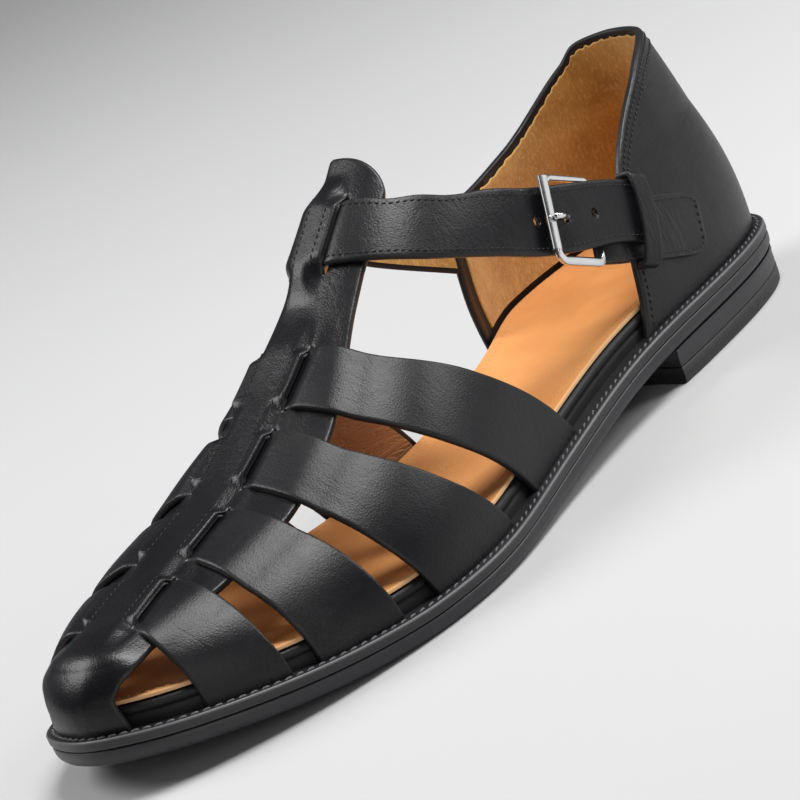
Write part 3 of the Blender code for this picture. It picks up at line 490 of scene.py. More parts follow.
def hideMaterial(name, look):
    # leather: two tones over the hide, paler worn edges, pores, and wrinkles where the "strain" says so, with
    # painted shade darkening the wrinkle valleys
    material, tree, shader, place = newMaterial(name, look["rough"], look["specular"])
    grain = use(tree, "grain", place, Scale=look["grain"], Break=0.5)
    wrinkle = use(tree, "wrinkle", place, Scale=look["wrinkleScale"], Stretch=look["stretch"],
                  Turn=look["turn"])
    dust = use(tree, "dust", place, Scale=55.0)
    tone = ramp(tree, grain["Tone"], ((0.3, 0.0), (0.7, 1.0)))
    colour = mixColour(tree, tone, look["dark"], look["light"])
    worn = mathNode(tree, "MULTIPLY", attribute(tree, "edge"), look["wear"], clamp=True)
    colour = mixColour(tree, worn, colour, look["worn"])
    strain = attribute(tree, "strain")
    # painted shade: the colour darkens toward the crease tone in the wrinkle valleys, more where the strain
    # is higher
    valley = mathNode(tree, "MULTIPLY", wrinkle["Valley"], mathNode(tree, "MULTIPLY", strain, 0.5))
    colour = mixColour(tree, valley, colour, look["creaseShade"])
    dusty = mathNode(tree, "MULTIPLY", dust["Mask"], look["dust"])
    colour = mixColour(tree, dusty, colour, (0.55, 0.53, 0.5))
    pores = bump(tree, grain["Height"], look["grainStrength"], 0.00012)
    height = mathNode(tree, "MULTIPLY", wrinkle["Height"], mathNode(tree, "ADD", strain, look["wrinkleBase"]))
    finish(tree, shader, colour=colour,
           rough=mathNode(tree, "MULTIPLY_ADD", tone, 0.08, look["rough"] - 0.04),
           normal=bump(tree, height, 0.5, 0.0009, Normal=pores))
    return material


plainHide = {"stretch": (1.0, 0.35, 1.0), "turn": (0.0, 0.0, 0.0), "wrinkleScale": 170.0, "wrinkleBase": 0.05,
             "grainStrength": 0.2}
# the crease colour here is painted shade laid into the wrinkle valleys
calfLook = dict(plainHide, rough=0.34, specular=0.30, grain=1150.0, dark=(0.0025, 0.0025, 0.0035),
                light=(0.006, 0.006, 0.0075), worn=(0.022, 0.022, 0.023), creaseShade=(0.003, 0.003, 0.003),
                wear=0.5, dust=0.012)
vampLeather = hideMaterial("blackCalf", dict(calfLook, turn=(0.0, 0.0, 0.6)))
strapLeather = hideMaterial("blackStrapCalf", dict(calfLook, stretch=(0.3, 1.0, 0.5), rough=0.40))
ankleLeather = hideMaterial("ankleStrapCalf", dict(calfLook, stretch=(1.0, 1.0, 0.25), rough=0.38,
                                                   wrinkleScale=210.0))
quarterLeather = hideMaterial("quarterCalf", dict(calfLook, rough=0.38, grainStrength=0.16))
tabLeather = hideMaterial("baseTabCalf", dict(calfLook, stretch=(0.9, 0.9, 0.25), rough=0.40))
rimLeather = hideMaterial("blackRim", dict(calfLook, rough=0.5))
cutEdge = hideMaterial("blackBinding", dict(calfLook, rough=0.6, light=(0.03, 0.028, 0.027),
                                            grainStrength=0.5))
# the crease colour here is painted shade laid into the wrinkle valleys of the tan leather and lining
tanLook = dict(plainHide, rough=0.55, specular=0.4, grain=800.0, dark=(0.58, 0.235, 0.070),
               light=(0.68, 0.300, 0.098), worn=(0.70, 0.40, 0.18), creaseShade=(0.26, 0.11, 0.04),
               wear=0.8, dust=0.0)
sockLeather = hideMaterial("tanSock", tanLook)
liningLeather = hideMaterial("tanLining", dict(tanLook, stretch=(0.35, 0.35, 1.6), wrinkleScale=330.0,
                                               wrinkleBase=0.7, dark=(0.30, 0.135, 0.052),
                                               light=(0.42, 0.20, 0.08)))
sockEdge = hideMaterial("paleCutEdge", dict(tanLook, dark=(0.42, 0.24, 0.12), light=(0.62, 0.42, 0.25),
                                            rough=0.8))


def suedeMaterial(name, look):
    # napped lining: fine fibres in colour and height, brushed patches, soft sheen
    material, tree, shader, place = newMaterial(name, look["rough"], 0.2)
    fibre = node(tree, "Mapping", Vector=place, Scale=(1.0, 1.0, 0.35))
    hair = noise(tree, fibre.outputs[0], 1500.0, 6.0, Roughness=0.75, Distortion=0.6)
    brushed = noise(tree, place, 70.0, 5.0, Roughness=0.65)
    colour = mixColour(tree, ramp(tree, brushed, ((0.32, 0.0), (0.68, 1.0))), look["dark"], look["light"])
    colour = mixColour(tree, ramp(tree, hair, ((0.50, 0.0), (0.72, 0.75))), colour, look["fibre"])
    shader.inputs["Sheen Weight"].default_value = 0.35
    shader.inputs["Sheen Roughness"].default_value = 0.5
    shader.inputs["Sheen Tint"].default_value = (0.95, 0.75, 0.5, 1)
    height = mathNode(tree, "MULTIPLY_ADD", brushed, 0.6, hair)
    finish(tree, shader, colour=colour, normal=bump(tree, height, 0.8, 0.0007))
    return material


suede = suedeMaterial("brownSuede", {"rough": 0.95, "dark": (0.44, 0.215, 0.050),
                                     "light": (0.64, 0.345, 0.095), "fibre": (0.88, 0.62, 0.28)})


def edgeMaterial(name, look):
    # waxed sole edge: faint layers along the sole, scuffs and a satin finish
    material, tree, shader, place = newMaterial(name, look["rough"], 0.5)
    layers = node(tree, "Mapping", Vector=place, Scale=(6.0, 6.0, 900.0))
    line = noise(tree, layers.outputs[0], 1.0, 3.0)
    scuff = noise(tree, place, 180.0, 6.0, Roughness=0.65)
    tone = mathNode(tree, "MULTIPLY_ADD", line, look["layers"], mathNode(tree, "MULTIPLY", scuff, 0.6))
    colour = mixColour(tree, ramp(tree, tone, ((0.3, 0.0), (0.8, 1.0))), look["dark"], look["light"])
    worn = mathNode(tree, "MULTIPLY", attribute(tree, "edge"), look["wear"], clamp=True)
    pores = use(tree, "grain", place, Scale=700.0, Break=0.8)
    height = mathNode(tree, "MULTIPLY_ADD", line, 0.8, mathNode(tree, "MULTIPLY", pores["Height"], 0.25))
    finish(tree, shader, colour=mixColour(tree, worn, colour, look["worn"]),
           rough=mathNode(tree, "MULTIPLY_ADD", scuff, 0.22, look["rough"] - 0.11),
           normal=bump(tree, height, look["relief"], 0.0003))
    return material


soleLook = {"rough": 0.44, "dark": (0.008, 0.008, 0.010), "light": (0.016, 0.016, 0.019),
            "worn": (0.07, 0.07, 0.074), "wear": 0.5, "layers": 0.5, "relief": 0.25}
soleEdge = edgeMaterial("waxedSoleEdge", soleLook)
weltEdge = edgeMaterial("blackWelt", dict(soleLook, dark=(0.008, 0.008, 0.009), light=(0.014, 0.014, 0.016),
                                          worn=(0.12, 0.12, 0.125), wear=0.9, layers=0.2))
heelEdge = edgeMaterial("stackedHeelEdge", dict(soleLook, layers=0.9))
liftRubber = edgeMaterial("heelLiftRubber", dict(soleLook, rough=0.6, dark=(0.012, 0.012, 0.013),
                                                 light=(0.020, 0.020, 0.022), relief=0.5))


def steelMaterial(name, look):
    # polished steel: smudged gloss and hairline scratches
    material, tree, shader, place = newMaterial(name, look["rough"], 0.5, 1.0)
    smudge = noise(tree, place, 240.0, 4.0)
    lines = node(tree, "Mapping", Vector=place, Rotation=(0.3, 0.5, 0.2), Scale=(60.0, 60.0, 4000.0))
    hair = noise(tree, lines.outputs[0], 1.0, 2.0)
    finish(tree, shader, colour=mixColour(tree, smudge, look["dark"], look["light"]),
           rough=mathNode(tree, "MULTIPLY_ADD", smudge, 0.16, look["rough"] - 0.05),
           normal=bump(tree, hair, 0.06, 0.0001))
    return material


steel = steelMaterial("polishedSteel", {"rough": 0.16, "dark": (0.62, 0.62, 0.63),
                                        "light": (0.82, 0.82, 0.82)})


def threadMaterial(name, tone, fleck):
    # waxed thread: plies show as a fine twist
    material, tree, shader, place = newMaterial(name, 0.6, 0.4)
    twist = noise(tree, place, 2400.0, 2.0)
    finish(tree, shader, colour=mixColour(tree, ramp(tree, twist, ((0.35, 0.0), (0.65, 1.0))), tone, fleck),
           normal=bump(tree, twist, 0.6, 0.0001))
    return material


blackThread = threadMaterial("blackThread", (0.003, 0.003, 0.004), (0.009, 0.009, 0.010))
greyThread = threadMaterial("greyWeltThread", (0.06, 0.06, 0.063), (0.16, 0.16, 0.165))
tanThread = threadMaterial("tanSockThread", (0.40, 0.20, 0.08), (0.62, 0.38, 0.18))
print("materials ready")

# sole: plates between rings round the outline; a ring is an inset, a level and how worn its edge is
def solePlate(name, rings, count, across, uSpan, materials, breast=0.0, dish=0.0, bands=None):
    share = np.linspace(0, 1, across)
    arch = 1 - (2 * share - 1) ** 2
    q = np.linspace(0, 1, 1500)
    levels, worn = [], []
    for inset, height, mark in rings:
        (ul, xl), (um, xm) = outline(1500, inset, 1), outline(1500, inset, -1)
        pick = np.interp(uSpan, (ul + um) / 2, q) * np.linspace(0, 1, count)
        end = np.stack([np.interp(pick, q, ul), np.interp(pick, q, xl)], -1)
        far = np.stack([np.interp(pick, q, um), np.interp(pick, q, xm)], -1)
        plan = far[:, None] * (1 - share[:, None]) + end[:, None] * share[:, None]
        plan[..., 0] -= breast * arch * np.clip((plan[..., 0] / uSpan - 0.6) / 0.4, 0, 1)
        levels.append(np.stack([plan[..., 1], heelY - plan[..., 0], height(plan[..., 0], plan[..., 1])], -1))
        worn.append(np.full(plan.shape[:2], float(mark)))
    levels[0][..., 2] -= dish * arch * smooth(0, 0.12, np.linspace(0, 1, count))[:, None]
    size = count * across
    number = np.arange(size).reshape(count, across)
    top = np.stack([number[:-1, :-1], number[1:, :-1], number[1:, 1:], number[:-1, 1:]], -1).reshape(-1, 4)
    rim = np.concatenate([number[0], number[1:, -1], number[-1, -2::-1], number[-2:0:-1, 0]])
    turn = np.roll(rim, -1)
    steps = np.arange(len(rings) - 1) * size
    sides = [np.stack([rim + low, turn + low, turn + low + size, rim + low + size], -1) for low in steps]
    base = top[:, ::-1] + (len(rings) - 1) * size
    kinds = np.concatenate([np.zeros(len(top)), np.repeat(bands or [0] * len(sides), len(rim)),
                            np.zeros(len(base))])
    return addMesh(name, np.concatenate([g.reshape(-1, 3) for g in levels]),
                   np.concatenate([top] + sides + [base]), materials, kinds,
                   marks={"edge": np.concatenate([w.ravel() for w in worn])}, sharp=60)


def under(rows):
    # rings whose level is a drop below the top of the welt
    return [(inset, lambda u, x, drop=drop: floorTop(u, x) - drop, mark) for inset, drop, mark in rows]


def flat(rows):
    # rings at one height over the floor
    return [(inset, lambda u, x, level=level: 0 * u + level, mark) for inset, level, mark in rows]


heelBlock = {"long": 84.0, "breast": 4.0}
outsole = solePlate("outsoleEdge", under([
    (2.2, 3.2, 0), (0.75, 3.2, 0.2), (0.42, 3.32, 1), (0.3, 3.65, 0.5), (0.25, 4.3, 0), (0.3, 5.3, 0),
    (0.5, 6.2, 0), (0.8, 6.8, 0.1), (1.3, 7.3, 0.4), (1.9, 7.55, 0.2), (3.0, 7.6, 0)]),
    300, 24, sole["length"], [soleEdge])
welt = solePlate("stitchedWelt", under([
    (1.6, 0, 0), (0.65, 0, 0.1), (0.34, 0.05, 0.8), (0.13, 0.2, 1), (0.02, 0.45, 0.9), (0.0, 0.8, 0.1),
    (0.0, 2.3, 0), (0.1, 2.65, 0.2), (0.35, 2.9, 0.3), (1.4, 2.95, 0)]),
    300, 24, sole["length"], [weltEdge])
rim = solePlate("rolledRim", under([
    (9.5, -6.2, 0), (7.8, -6.2, 0), (7.0, -6.1, 0), (6.4, -5.8, 0.3), (5.98, -5.3, 0.5), (5.8, -4.6, 0.3),
    (5.85, -3.9, 0), (6.1, -3.4, 0), (6.25, -3.1, 0), (6.0, -2.7, 0), (5.85, -1.8, 0), (5.85, 0.1, 0)]),
    260, 20, sole["length"], [rimLeather])
sock = {"inset": 6.5, "top": 7.7, "dish": 0.9, "stitchIn": 3.3}
insole = solePlate("tanSockSheet", under([
    (8.4, -sock["top"], 0), (7.1, -sock["top"], 0), (6.78, -7.66, 0.5), (6.58, -7.5, 1), (6.5, -7.25, 1),
    (6.5, -6.6, 0.6), (7.2, -6.4, 0)]),
    260, 24, sole["length"], [sockLeather, sockEdge], dish=sock["dish"], bands=[0, 0, 1, 1, 1, 1])
heel = solePlate("stackedHeel", under([(2.2, 7.75, 0), (1.1, 7.8, 0), (1.0, 8.1, 0.2), (1.05, 8.9, 0)])
                 + flat([(1.3, 8.6, 0), (1.5, 5.5, 0), (1.55, 5.15, 0.3), (2.6, 5.05, 0)]),
                 140, 30, heelBlock["long"], [heelEdge], breast=heelBlock["breast"])
lift = solePlate("heelLift", flat([
    (2.6, 4.85, 0), (1.65, 4.8, 0.2), (1.5, 4.55, 0.4), (1.6, 2.5, 0), (1.8, 0.9, 0), (2.0, 0.3, 0.4),
    (2.35, 0.05, 0.3), (3.2, 0.0, 0)]),
    140, 30, heelBlock["long"], [liftRubber], breast=heelBlock["breast"])
for piece, cadName, slotName in (
        (outsole, "Outsole", "sole_edge"), (welt, "Welt", "welt_edge"), (rim, "Platform", "rim_leather"),
        (insole, "Insole", "tan_leather"), (heel, "Heel", "heel_edge"), (lift, "TopLift", "lift_rubber")):
    standsFor(piece, cadName)
weltStitch = {"pitch": 3.1, "length": 2.5, "radius": 0.3, "lift": 0.12, "dip": 0.35, "slant": 0.35}
sockStitch = {"pitch": 2.6, "length": 1.7, "radius": 0.17, "lift": 0.02, "dip": 0.2}
stitchLines = (("weltStitches", weltStitch, 2.0, 0.0, (2, 298.5)),
               ("sockStitches", sockStitch, sock["inset"] + sock["stitchIn"], sock["top"] - 0.15,
                (11.5, 289)))
for side in (1, -1):
    for kind, settings, inset, height, ends in stitchLines:
        ul, xl = outline(2000, inset, side)
        inside = (ul > ends[0]) & (ul < ends[1])
        ul, xl = ul[inside][::side], xl[inside][::side]
        row = np.stack([xl, heelY - ul, floorTop(ul, xl) + height], -1)
        stitchRow(kind, row, np.tile([0.0, 0.0, 1.0], (len(row), 1)), settings)
print("sole, welt and sock ready")

# vamp: centre strap with its rounded tab, two slots and eight slits, going over into the toe cap
vamp = {"tabEnd": 137.5, "tabRound": 8.5, "tabPower": 2.3, "join": 158.0, "capStart": 279.0, "thick": 1.9,
        "edge": 0.75, "lip": 0.5, "overlay": 1.9, "bridge": 3.4, "gap": 0.3, "rows": 0.7, "paint": 3.4,
        "sink": 0.9, "flatten": 0.42, "capRows": 77, "soft": 70}
bandRows = np.array([[140, 18], [160, 18.5], [185, 21.5], [205, 27], [230, 29], [256, 25], [270, 20.5],
                     [279, 17.0]], float)
slits = np.array([[185, 202], [207.5, 224.5], [231.5, 249.5], [256.5, 276.5]], float)
slot = {"back": 147.6, "front": 166.6}
cuts = np.vstack([slits, [[slot["back"], slot["front"]]]])
cutLines = {1: (8.6, 13.5), -1: (-5.4, -6.5)}      # arcs of the slots and of the slits, by side
belly = {"share": (0, 0.5, 1), "out": (0.8, 2.1, 2.0), "low": 3.0, "high": 20.0,
         "middle": np.array([262.0, -8.6])}


def bandShift(u):
    return np.interp(u, (165, 190), (1.8, 3.5))


def cutArc(u, side):
    atSlot, atSlits = cutLines[side]
    return atSlot + (atSlits - atSlot) * smooth(168, 181, u)


def marginArc(u, side):
    wider = 3.5 * (1 - smooth(146, 160, u)) * (side < 0)
    return bandShift(u) + side * (curve(bandRows[:, 0], bandRows[:, 1], np.clip(u, 140, 279)) + wider)


def overStrap(u):
    # 1 where the band lies over a strap, with soft ends inside each slit
    total = sum(plateau(back - 0.2, back + 3.2, front - 3.2, front + 0.2, u) for back, front in slits)
    return np.clip(total, 0, 1)


def overAnkle(u):
    return plateau(slot["back"] - 6, slot["back"] + 3.5, slot["front"] - 3, slot["front"] + 8, u)


def cutDistance(u, arc):
    # distance to the nearest slit or slot edge
    best = np.full(np.shape(u), 99.0)
    for back, front in cuts:
        along = np.maximum(np.maximum(back - u, u - front), 0)
        for side in (1, -1):
            off = np.abs(np.abs(arc - cutArc(u, side)) - vamp["gap"])
            best = np.minimum(best, np.hypot(off, along))
    return best


def bandLift(u, arc):
    # the middle rises over what passes under it, with a rolled lip at the cuts that comes down at
    # both ends of a cut; the margins sink under the straps
    right, left = cutArc(u, 1), cutArc(u, -1)
    middle = (arc < right) & (arc > left)
    toCut = np.minimum(np.abs(arc - right), np.abs(arc - left))
    strap, ankle, inside = overStrap(u), overAnkle(u), smooth(0, 6, toCut)
    zone = plateau(174, 187, 277, 290, u)
    atSlot = plateau(slot["back"] - 1, slot["back"] + 4, slot["front"] - 4, slot["front"] + 1, u)
    raised = (vamp["overlay"] * (strap * (1 - inside) + 0.86 * zone * inside)
              + vamp["lip"] * strap * np.exp(-((toCut - 1.0) / 1.1) ** 2)
              + vamp["bridge"] * (atSlot * (1 - inside) + ankle * inside))
    sunk = (-2.1 * strap * (1 - smooth(0, 4.5, toCut)) - 0.35 * atSlot * (1 - smooth(0, 5, toCut))
            - vamp["sink"] * zone * np.maximum(strap, inside))
    flatter = vamp["flatten"] * np.clip(-4 - arc, 0, 20) * (1 - smooth(145, 156, u))
    return np.where(middle, raised, sunk) + flatter


def bandGrid():
    # rows across the centre strap; the first ones follow the tab's rounded end
    cells = [edged(12, 12), edged(17, 26), edged(12, 12)]
    end, join, power = vamp["tabEnd"], vamp["join"], vamp["tabPower"]
    close = end + np.array([0, 0.06, 0.18, 0.36, 0.62, 1.0])
    wide = np.arange(end + 1.6, vamp["capStart"] - 0.35, vamp["rows"])
    station = np.concatenate([close, wide, [vamp["capStart"]]])[:, None]
    right, left = marginArc(station, 1), marginArc(station, -1)
    cutR, cutL = cutArc(station, 1), cutArc(station, -1)
    g = vamp["gap"]
    arc = np.concatenate([right + (cutR + g - right) * cells[0], cutR - g + (cutL + g - cutR + g) * cells[1],
                          cutL - g + (left - cutL + g) * cells[2]], axis=1)
    across = np.clip(np.abs((arc - (right + left) / 2) / (right - left) * 2), 0, 1)
    rounded = end + vamp["tabRound"] * (1 - (1 - across ** power) ** (1 / power))
    t = np.clip((station - end) / (join - end), 0, 1)
    u = np.where(station < join, rounded + (join - rounded) * t, station)
    distance = np.minimum(np.minimum(right - arc, arc - left), u - rounded)
    share = ((right - arc) / (right - left))[-1]
    return instep(u, vAt(u, arc)), u, arc, distance, share, [len(c) for c in cells]


def capPlan(lastRow, share):
    # toe cap in plan: a patch between the last row, the two free edges and the foot line round the toe
    halves = [np.stack(line, -1)[line[0] > 286][::turn]
              for line, turn in ((footLateral, 1), (footMedial, -1))]
    foot = np.concatenate(halves)
    run = runAlong(foot)
    third = len(foot) // 3
    first = np.interp(293.2, foot[:third, 0], run[:third])
    last = np.interp(-293.2, -foot[-third:, 0], run[-third:])
    at = first + (last - first) * share
    footLine = np.stack([np.interp(at, run, foot[:, 0]), np.interp(at, run, foot[:, 1])], -1)
    backLine = np.stack([heelY - lastRow[:, 1], lastRow[:, 0]], -1)
    edgeRows = np.array([[284.4, 0.264], [289.7, 0.211], [292.1, 0.174], [293.5, 0.097]])
    down = 1 - (1 - np.linspace(0, 1, vamp["capRows"] + 1)[1:]) ** 2.0
    sides = []
    for k, place in ((0, edgeRows[:, 1]), (-1, 1 - edgeRows[:, 1])):
        between = np.stack([edgeRows[:, 0], instep(edgeRows[:, 0], place)[:, 0]], -1)
        line = np.vstack([backLine[k], between, footLine[k]])
        gone = runAlong(line)
        sides.append(np.stack([curve(gone / gone[-1], line[:, n], down) for n in (0, 1)], -1))
    t, f = down[:, None, None], share[None, :, None]
    plan = ((1 - t) * backLine + t * footLine + (1 - f) * sides[0][:, None] + f * sides[1][:, None]
            - (1 - f) * (1 - t) * backLine[0] - f * (1 - t) * backLine[-1]
            - (1 - f) * t * footLine[0] - f * t * footLine[-1])
    # keep every point inside the foot line, by its distance from the middle of the toe
    around = np.concatenate([np.stack(line, -1)[line[0] > 240][::turn]
                             for line, turn in ((footLateral, 1), (footMedial, -1))])
    arm, armFoot = plan - belly["middle"], around - belly["middle"]
    angle = np.arctan2(armFoot[:, 1], armFoot[:, 0])
    order = np.argsort(angle)
    most = np.interp(np.arctan2(arm[..., 1], arm[..., 0]), angle[order], np.hypot(*armFoot.T)[order])
    most = most * (1 - 0.14 * (1 - t[..., 0]))
    size = np.linalg.norm(arm, axis=-1)
    plan[:-1] = (belly["middle"] + arm * np.minimum(1, most / size)[..., None])[:-1]
    return plan, footLine


def vampGrid():
    points, u, arc, distance, share, counts = bandGrid()
    plan, footLine = capPlan(points[-1], share)
    z = overPlan(plan[..., 0], plan[..., 1])
    z[-1] = floorTop(footLine[:, 0], footLine[:, 1])
    cap = np.stack([plan[..., 1], heelY - plan[..., 0], z], -1)
    step = np.linalg.norm(np.diff(cap, axis=1), axis=2)
    fromRight = np.concatenate([np.zeros((len(cap), 1)), np.cumsum(step, axis=1)], axis=1)
    capDistance = np.minimum(fromRight, fromRight[:, -1:] - fromRight)
    # the low front swells out over the foot line
    outward = unit(plan[..., ::-1] - belly["middle"][::-1]) * np.array([1.0, -1.0])
    above = cap[..., 2] - floorTop(plan[..., 0], plan[..., 1])
    swell = np.sin(np.pi * np.clip((above + belly["low"]) / belly["high"], 0, 1))
    swell = swell * np.interp(share, belly["share"], belly["out"]) * np.clip((plan[..., 0] - 266) / 16, 0, 1)
    cap[..., :2] += outward * swell[..., None]
    allPoints = np.concatenate([points, cap])
    # the cap's normals are softened over their neighbours, and level at the foot line
    normals = gridNormals(allPoints, (0, -0.4, 1))
    soft, columns = vamp["soft"], normals.shape[1]
    for _ in range(3):
        padded = np.pad(normals[-soft:], ((1, 1), (1, 1), (0, 0)), mode="edge")
        normals[-soft:] = sum(padded[i:i + soft, j:j + columns] for i in range(3) for j in range(3)) / 9
    normals = unit(normals)
    normals[-1, :, 2] = 0
    normals[-1] = unit(normals[-1])
    allArc = np.concatenate([arc, np.broadcast_to(arc[-1], plan.shape[:2])])
    return (allPoints, normals, np.concatenate([u, plan[..., 0]]), allArc,
            np.concatenate([distance, capDistance]), counts)


points, normals, uGrid, arcGrid, free, counts = vampGrid()
lifts = bandLift(uGrid, arcGrid)
points = points + normals * lifts[..., None]
keep = np.ones((points.shape[0] - 1, points.shape[1] - 1), bool)
centreU = (uGrid[:-1, :-1] + uGrid[1:, 1:]) / 2
inCut = np.zeros(centreU.shape, bool)
for back, front in cuts:
    inCut |= (centreU > back) & (centreU < front)
for column in (counts[0] - 1, counts[0] + counts[1] - 1):
    keep[:, column] &= ~inCut[:, column]
nearCut = cutDistance(uGrid, arcGrid)
distance = np.minimum(free, nearCut)
endStrain = np.zeros(uGrid.shape)
for back, front in cuts:
    for side in (1, -1):
        for place in (back, front):
            endStrain += np.exp(-(np.hypot(arcGrid - cutArc(uGrid, side), uGrid - place) / 5.0) ** 2)
strain = np.clip(0.02 + 0.06 * endStrain + 0.05 * (1 - smooth(168, 184, uGrid)), 0, 1)
facing = gridNormals(points, (0, -0.4, 1)) * 0.35 + normals * 0.65
vampPiece = leatherSheet("vampAndToeCap", points, facing, vamp, distance, vampLeather, liningLeather,
                         keep, strain)
standsFor(vampPiece, "Cage")


def vampPoint(u, arc):
    # point and upward normal of the raised band
    base = np.stack([instep(u + du, vAt(u + du, arc + da)) for du, da in ((0, 0), (0.4, 0), (0, 0.4))])
    n = unit(np.cross(base[1] - base[0], base[2] - base[0]))
    n = np.where(n[..., 2:] < 0, -n, n)
    return base[0] + n * bandLift(u, arc)[..., None], n


vampStitch = {"pitch": 1.9, "length": 1.45, "radius": 0.21, "lift": 0.13, "dip": 0.32, "slant": 0.16}
seams = [(back + 0.5, front - 0.5, arc) for back, front in slits for arc in (9.5, -2.5)]
seams += [(slot["back"] + 0.8, slot["front"] - 0.8, arc) for arc in (5.3, -0.4)]
for first, last, arc in seams:
    stitchRow("vampStitches", *vampPoint(np.linspace(first, last, 60), np.full(60, arc)), vampStitch)
print("vamp ready")

# side straps: from the foot line up over the band's margin and down into the slit
strapRows = [
    {"name": "first", "back": (137, 164, 181, 185), "front": (166, 188, 199.5, 202),
     "backIn": (143, 166, 181, 185), "frontIn": (177, 193, 200.5, 202)},
    {"name": "second", "back": (182, 199.5, 208.5, 207.5), "front": (218.5, 224.5, 226.5, 224.5),
     "backIn": (184, 198, 207, 207.5), "frontIn": (220, 225, 226, 224.5)},
    {"name": "third", "back": (230, 232.5, 233.3, 231.5), "front": (254.5, 255.3, 254, 249.5),
     "backIn": (231, 232.5, 233, 231.5), "frontIn": (254, 254.5, 253, 249.5)},
    {"name": "fourth", "back": (261.3, 261.8, 259.5, 256.5), "front": (280.6, 280.6, 279.6, 276.5),
     "backIn": (261.5, 261.5, 259.5, 256.5), "frontIn": (280.4, 280.2, 279, 276.5)}]
sideStrap = {"thick": 1.9, "edge": 0.8, "over": 1.15, "dive": 1.3, "crown": 0.25, "worn": 0.7, "paint": 1.6}
stripPlaces = np.array([0.0, 0.15, 0.30, 0.45])


def footStrap(row, side):
    inner = "In" if side < 0 else ""
    q = 1 - (1 - np.linspace(0, 1, 130)[:, None]) ** 1.15
    t = edged(19, 26)[None]
    middle = (row["back"][3] + row["front"][3]) / 2
    endArc = cutArc(middle, side) - side * 5.0
    reach = vAt(middle, endArc) if side > 0 else 1 - vAt(middle, endArc)
    place = np.clip(q * reach, 0, 0.45)
    back, front = (curve(stripPlaces, row[end + inner], place) for end in ("back", "front"))
    u = back * (1 - t) + front * t
    local = vAt(u, endArc)
    v = q * local if side > 0 else 1 - q * (1 - local)
    points = instep(u, v)
    arc = arcAt(u, v)
    normals = gridNormals(points, (0.6 * side, -0.2, 1))
    normals[0, :, 2] = 0
    normals[0] = unit(normals[0])
    climb = smooth(-7.0, 3.0, side * (marginArc(u, side) - arc))
    pastCut = side * (arc - cutArc(u, side))
    dive = smooth(0, 1, (4.6 - pastCut) / 5.2)
    width = np.linalg.norm(points[:, -1] - points[:, 0], axis=-1)[:, None]
    fromEdge = np.minimum(t, 1 - t) * width
    lifted = (sideStrap["over"] * climb - sideStrap["dive"] * dive
              + sideStrap["crown"] * np.sin(np.pi * t) * smooth(0, 0.12, q))
    strain = 0.02 + 0.10 * climb * (1 - smooth(2, 9, pastCut)) + 0.10 * (1 - smooth(0.02, 0.14, q))
    piece = leatherSheet(row["name"] + ("Lateral" if side > 0 else "Medial") + "Strap",
                         points + normals * lifted[..., None], normals, sideStrap, fromEdge, strapLeather,
                         liningLeather, strain=np.broadcast_to(strain, u.shape))
    standsFor(piece, "Cage")


for row in strapRows:
    for side in (1, -1):
        footStrap(row, side)
print("side straps ready")

# quarter: cup round the heel with its lining, binding and topline stitches
quarter = {"thick": 2.2, "edge": 0.95, "worn": 1.1, "binding": 2.5}
toplineRows = {1: np.array([[0, 67.5], [10, 67.2], [22, 66], [36, 62.3], [47, 57.2], [58, 51], [70, 40.6],
                            [77, 30]], float),
               -1: np.array([[0, 67.5], [6, 66.5], [15, 61.5], [30, 53.5], [47, 47.5], [64, 45.2],
                             [77, 48]], float)}
frontRows = {1: np.array([[0, 90.5], [8, 86.5], [19, 82.5], [30, 77]], float),
             -1: np.array([[0, 93.5], [10, 95.5], [20, 96.5], [28, 96], [48, 94]], float)}


def quarterPoint(station, z, side, out):
    # station 0 is the heel back and 77 the front edge, which slants with the height
    rows = frontRows[side]
    front = curve(rows[:, 0], rows[:, 1], np.clip(z, 0, rows[-1, 0]))
    return heelWall(station + (front - 77) * np.clip((station - 41) / 36, 0, 1) ** 1.3, z, side, out)


def quarterGrid(out, low, topDrop, frontDrop, counts):
    # both sides in one grid from the lateral front edge round the back to the medial one: the
    # points, their distances from the front and the top edge, and their heights
    halves = []
    for side in (1, -1):
        s = np.sort((77 - frontDrop) * (1 - edged(95, counts[0], 1.6)[::-1]) ** 1.25)
        s[0] = 0
        top = curve(*toplineRows[side].T, s)[:, None] - topDrop
        z = low + (top - low) * (1 - edged(65, counts[1], 1.3)[None, ::-1])
        station = np.broadcast_to(s[:, None], z.shape)
        halves.append((quarterPoint(station, z, side, out), 77 - frontDrop - station, top - z, z))
    return [np.concatenate([lateral[::-1], medial[1:]]) for lateral, medial in zip(*halves)]


shell, fromFront, fromTop, wallHeight = quarterGrid(0.0, 0.0, 0.0, 0.0, (70, 46))
strain = 0.03 + 0.12 * np.exp(-(fromTop / 6) ** 2) + 0.10 * np.exp(-((wallHeight - 3) / 5) ** 2)
quarterPiece = leatherSheet("heelQuarter", shell, gridNormals(shell, (0, 1, 0)), quarter,
                            np.minimum(fromFront, fromTop), quarterLeather, cutEdge, strain=strain)
standsFor(quarterPiece, "Quarter")

lining = {"thick": 0.7, "edge": 0.35, "worn": 0.5}
inner, fromFront, fromTop, _ = quarterGrid(-2.25, 9.3, quarter["binding"], 3.4, (60, 40))
ragged = (0.28 * np.sin(inner[..., 0] * 1.9 + inner[..., 1] * 1.3)
          + 0.2 * np.sin(inner[..., 0] * 4.1 - inner[..., 1] * 3.3))
inner[..., 2] += ragged * np.exp(-(fromTop / 0.8) ** 2)
inward = -gridNormals(inner, (0, 1, 0))
liningPiece = leatherSheet("quarterLining", inner + inward * 0.6, inward, lining,
                           np.minimum(fromFront, fromTop), suede)
standsFor(liningPiece, "Quarter")

toplineStitch = {"pitch": 1.9, "length": 1.45, "radius": 0.21, "lift": 0.12, "dip": 0.32, "slant": 0.14}


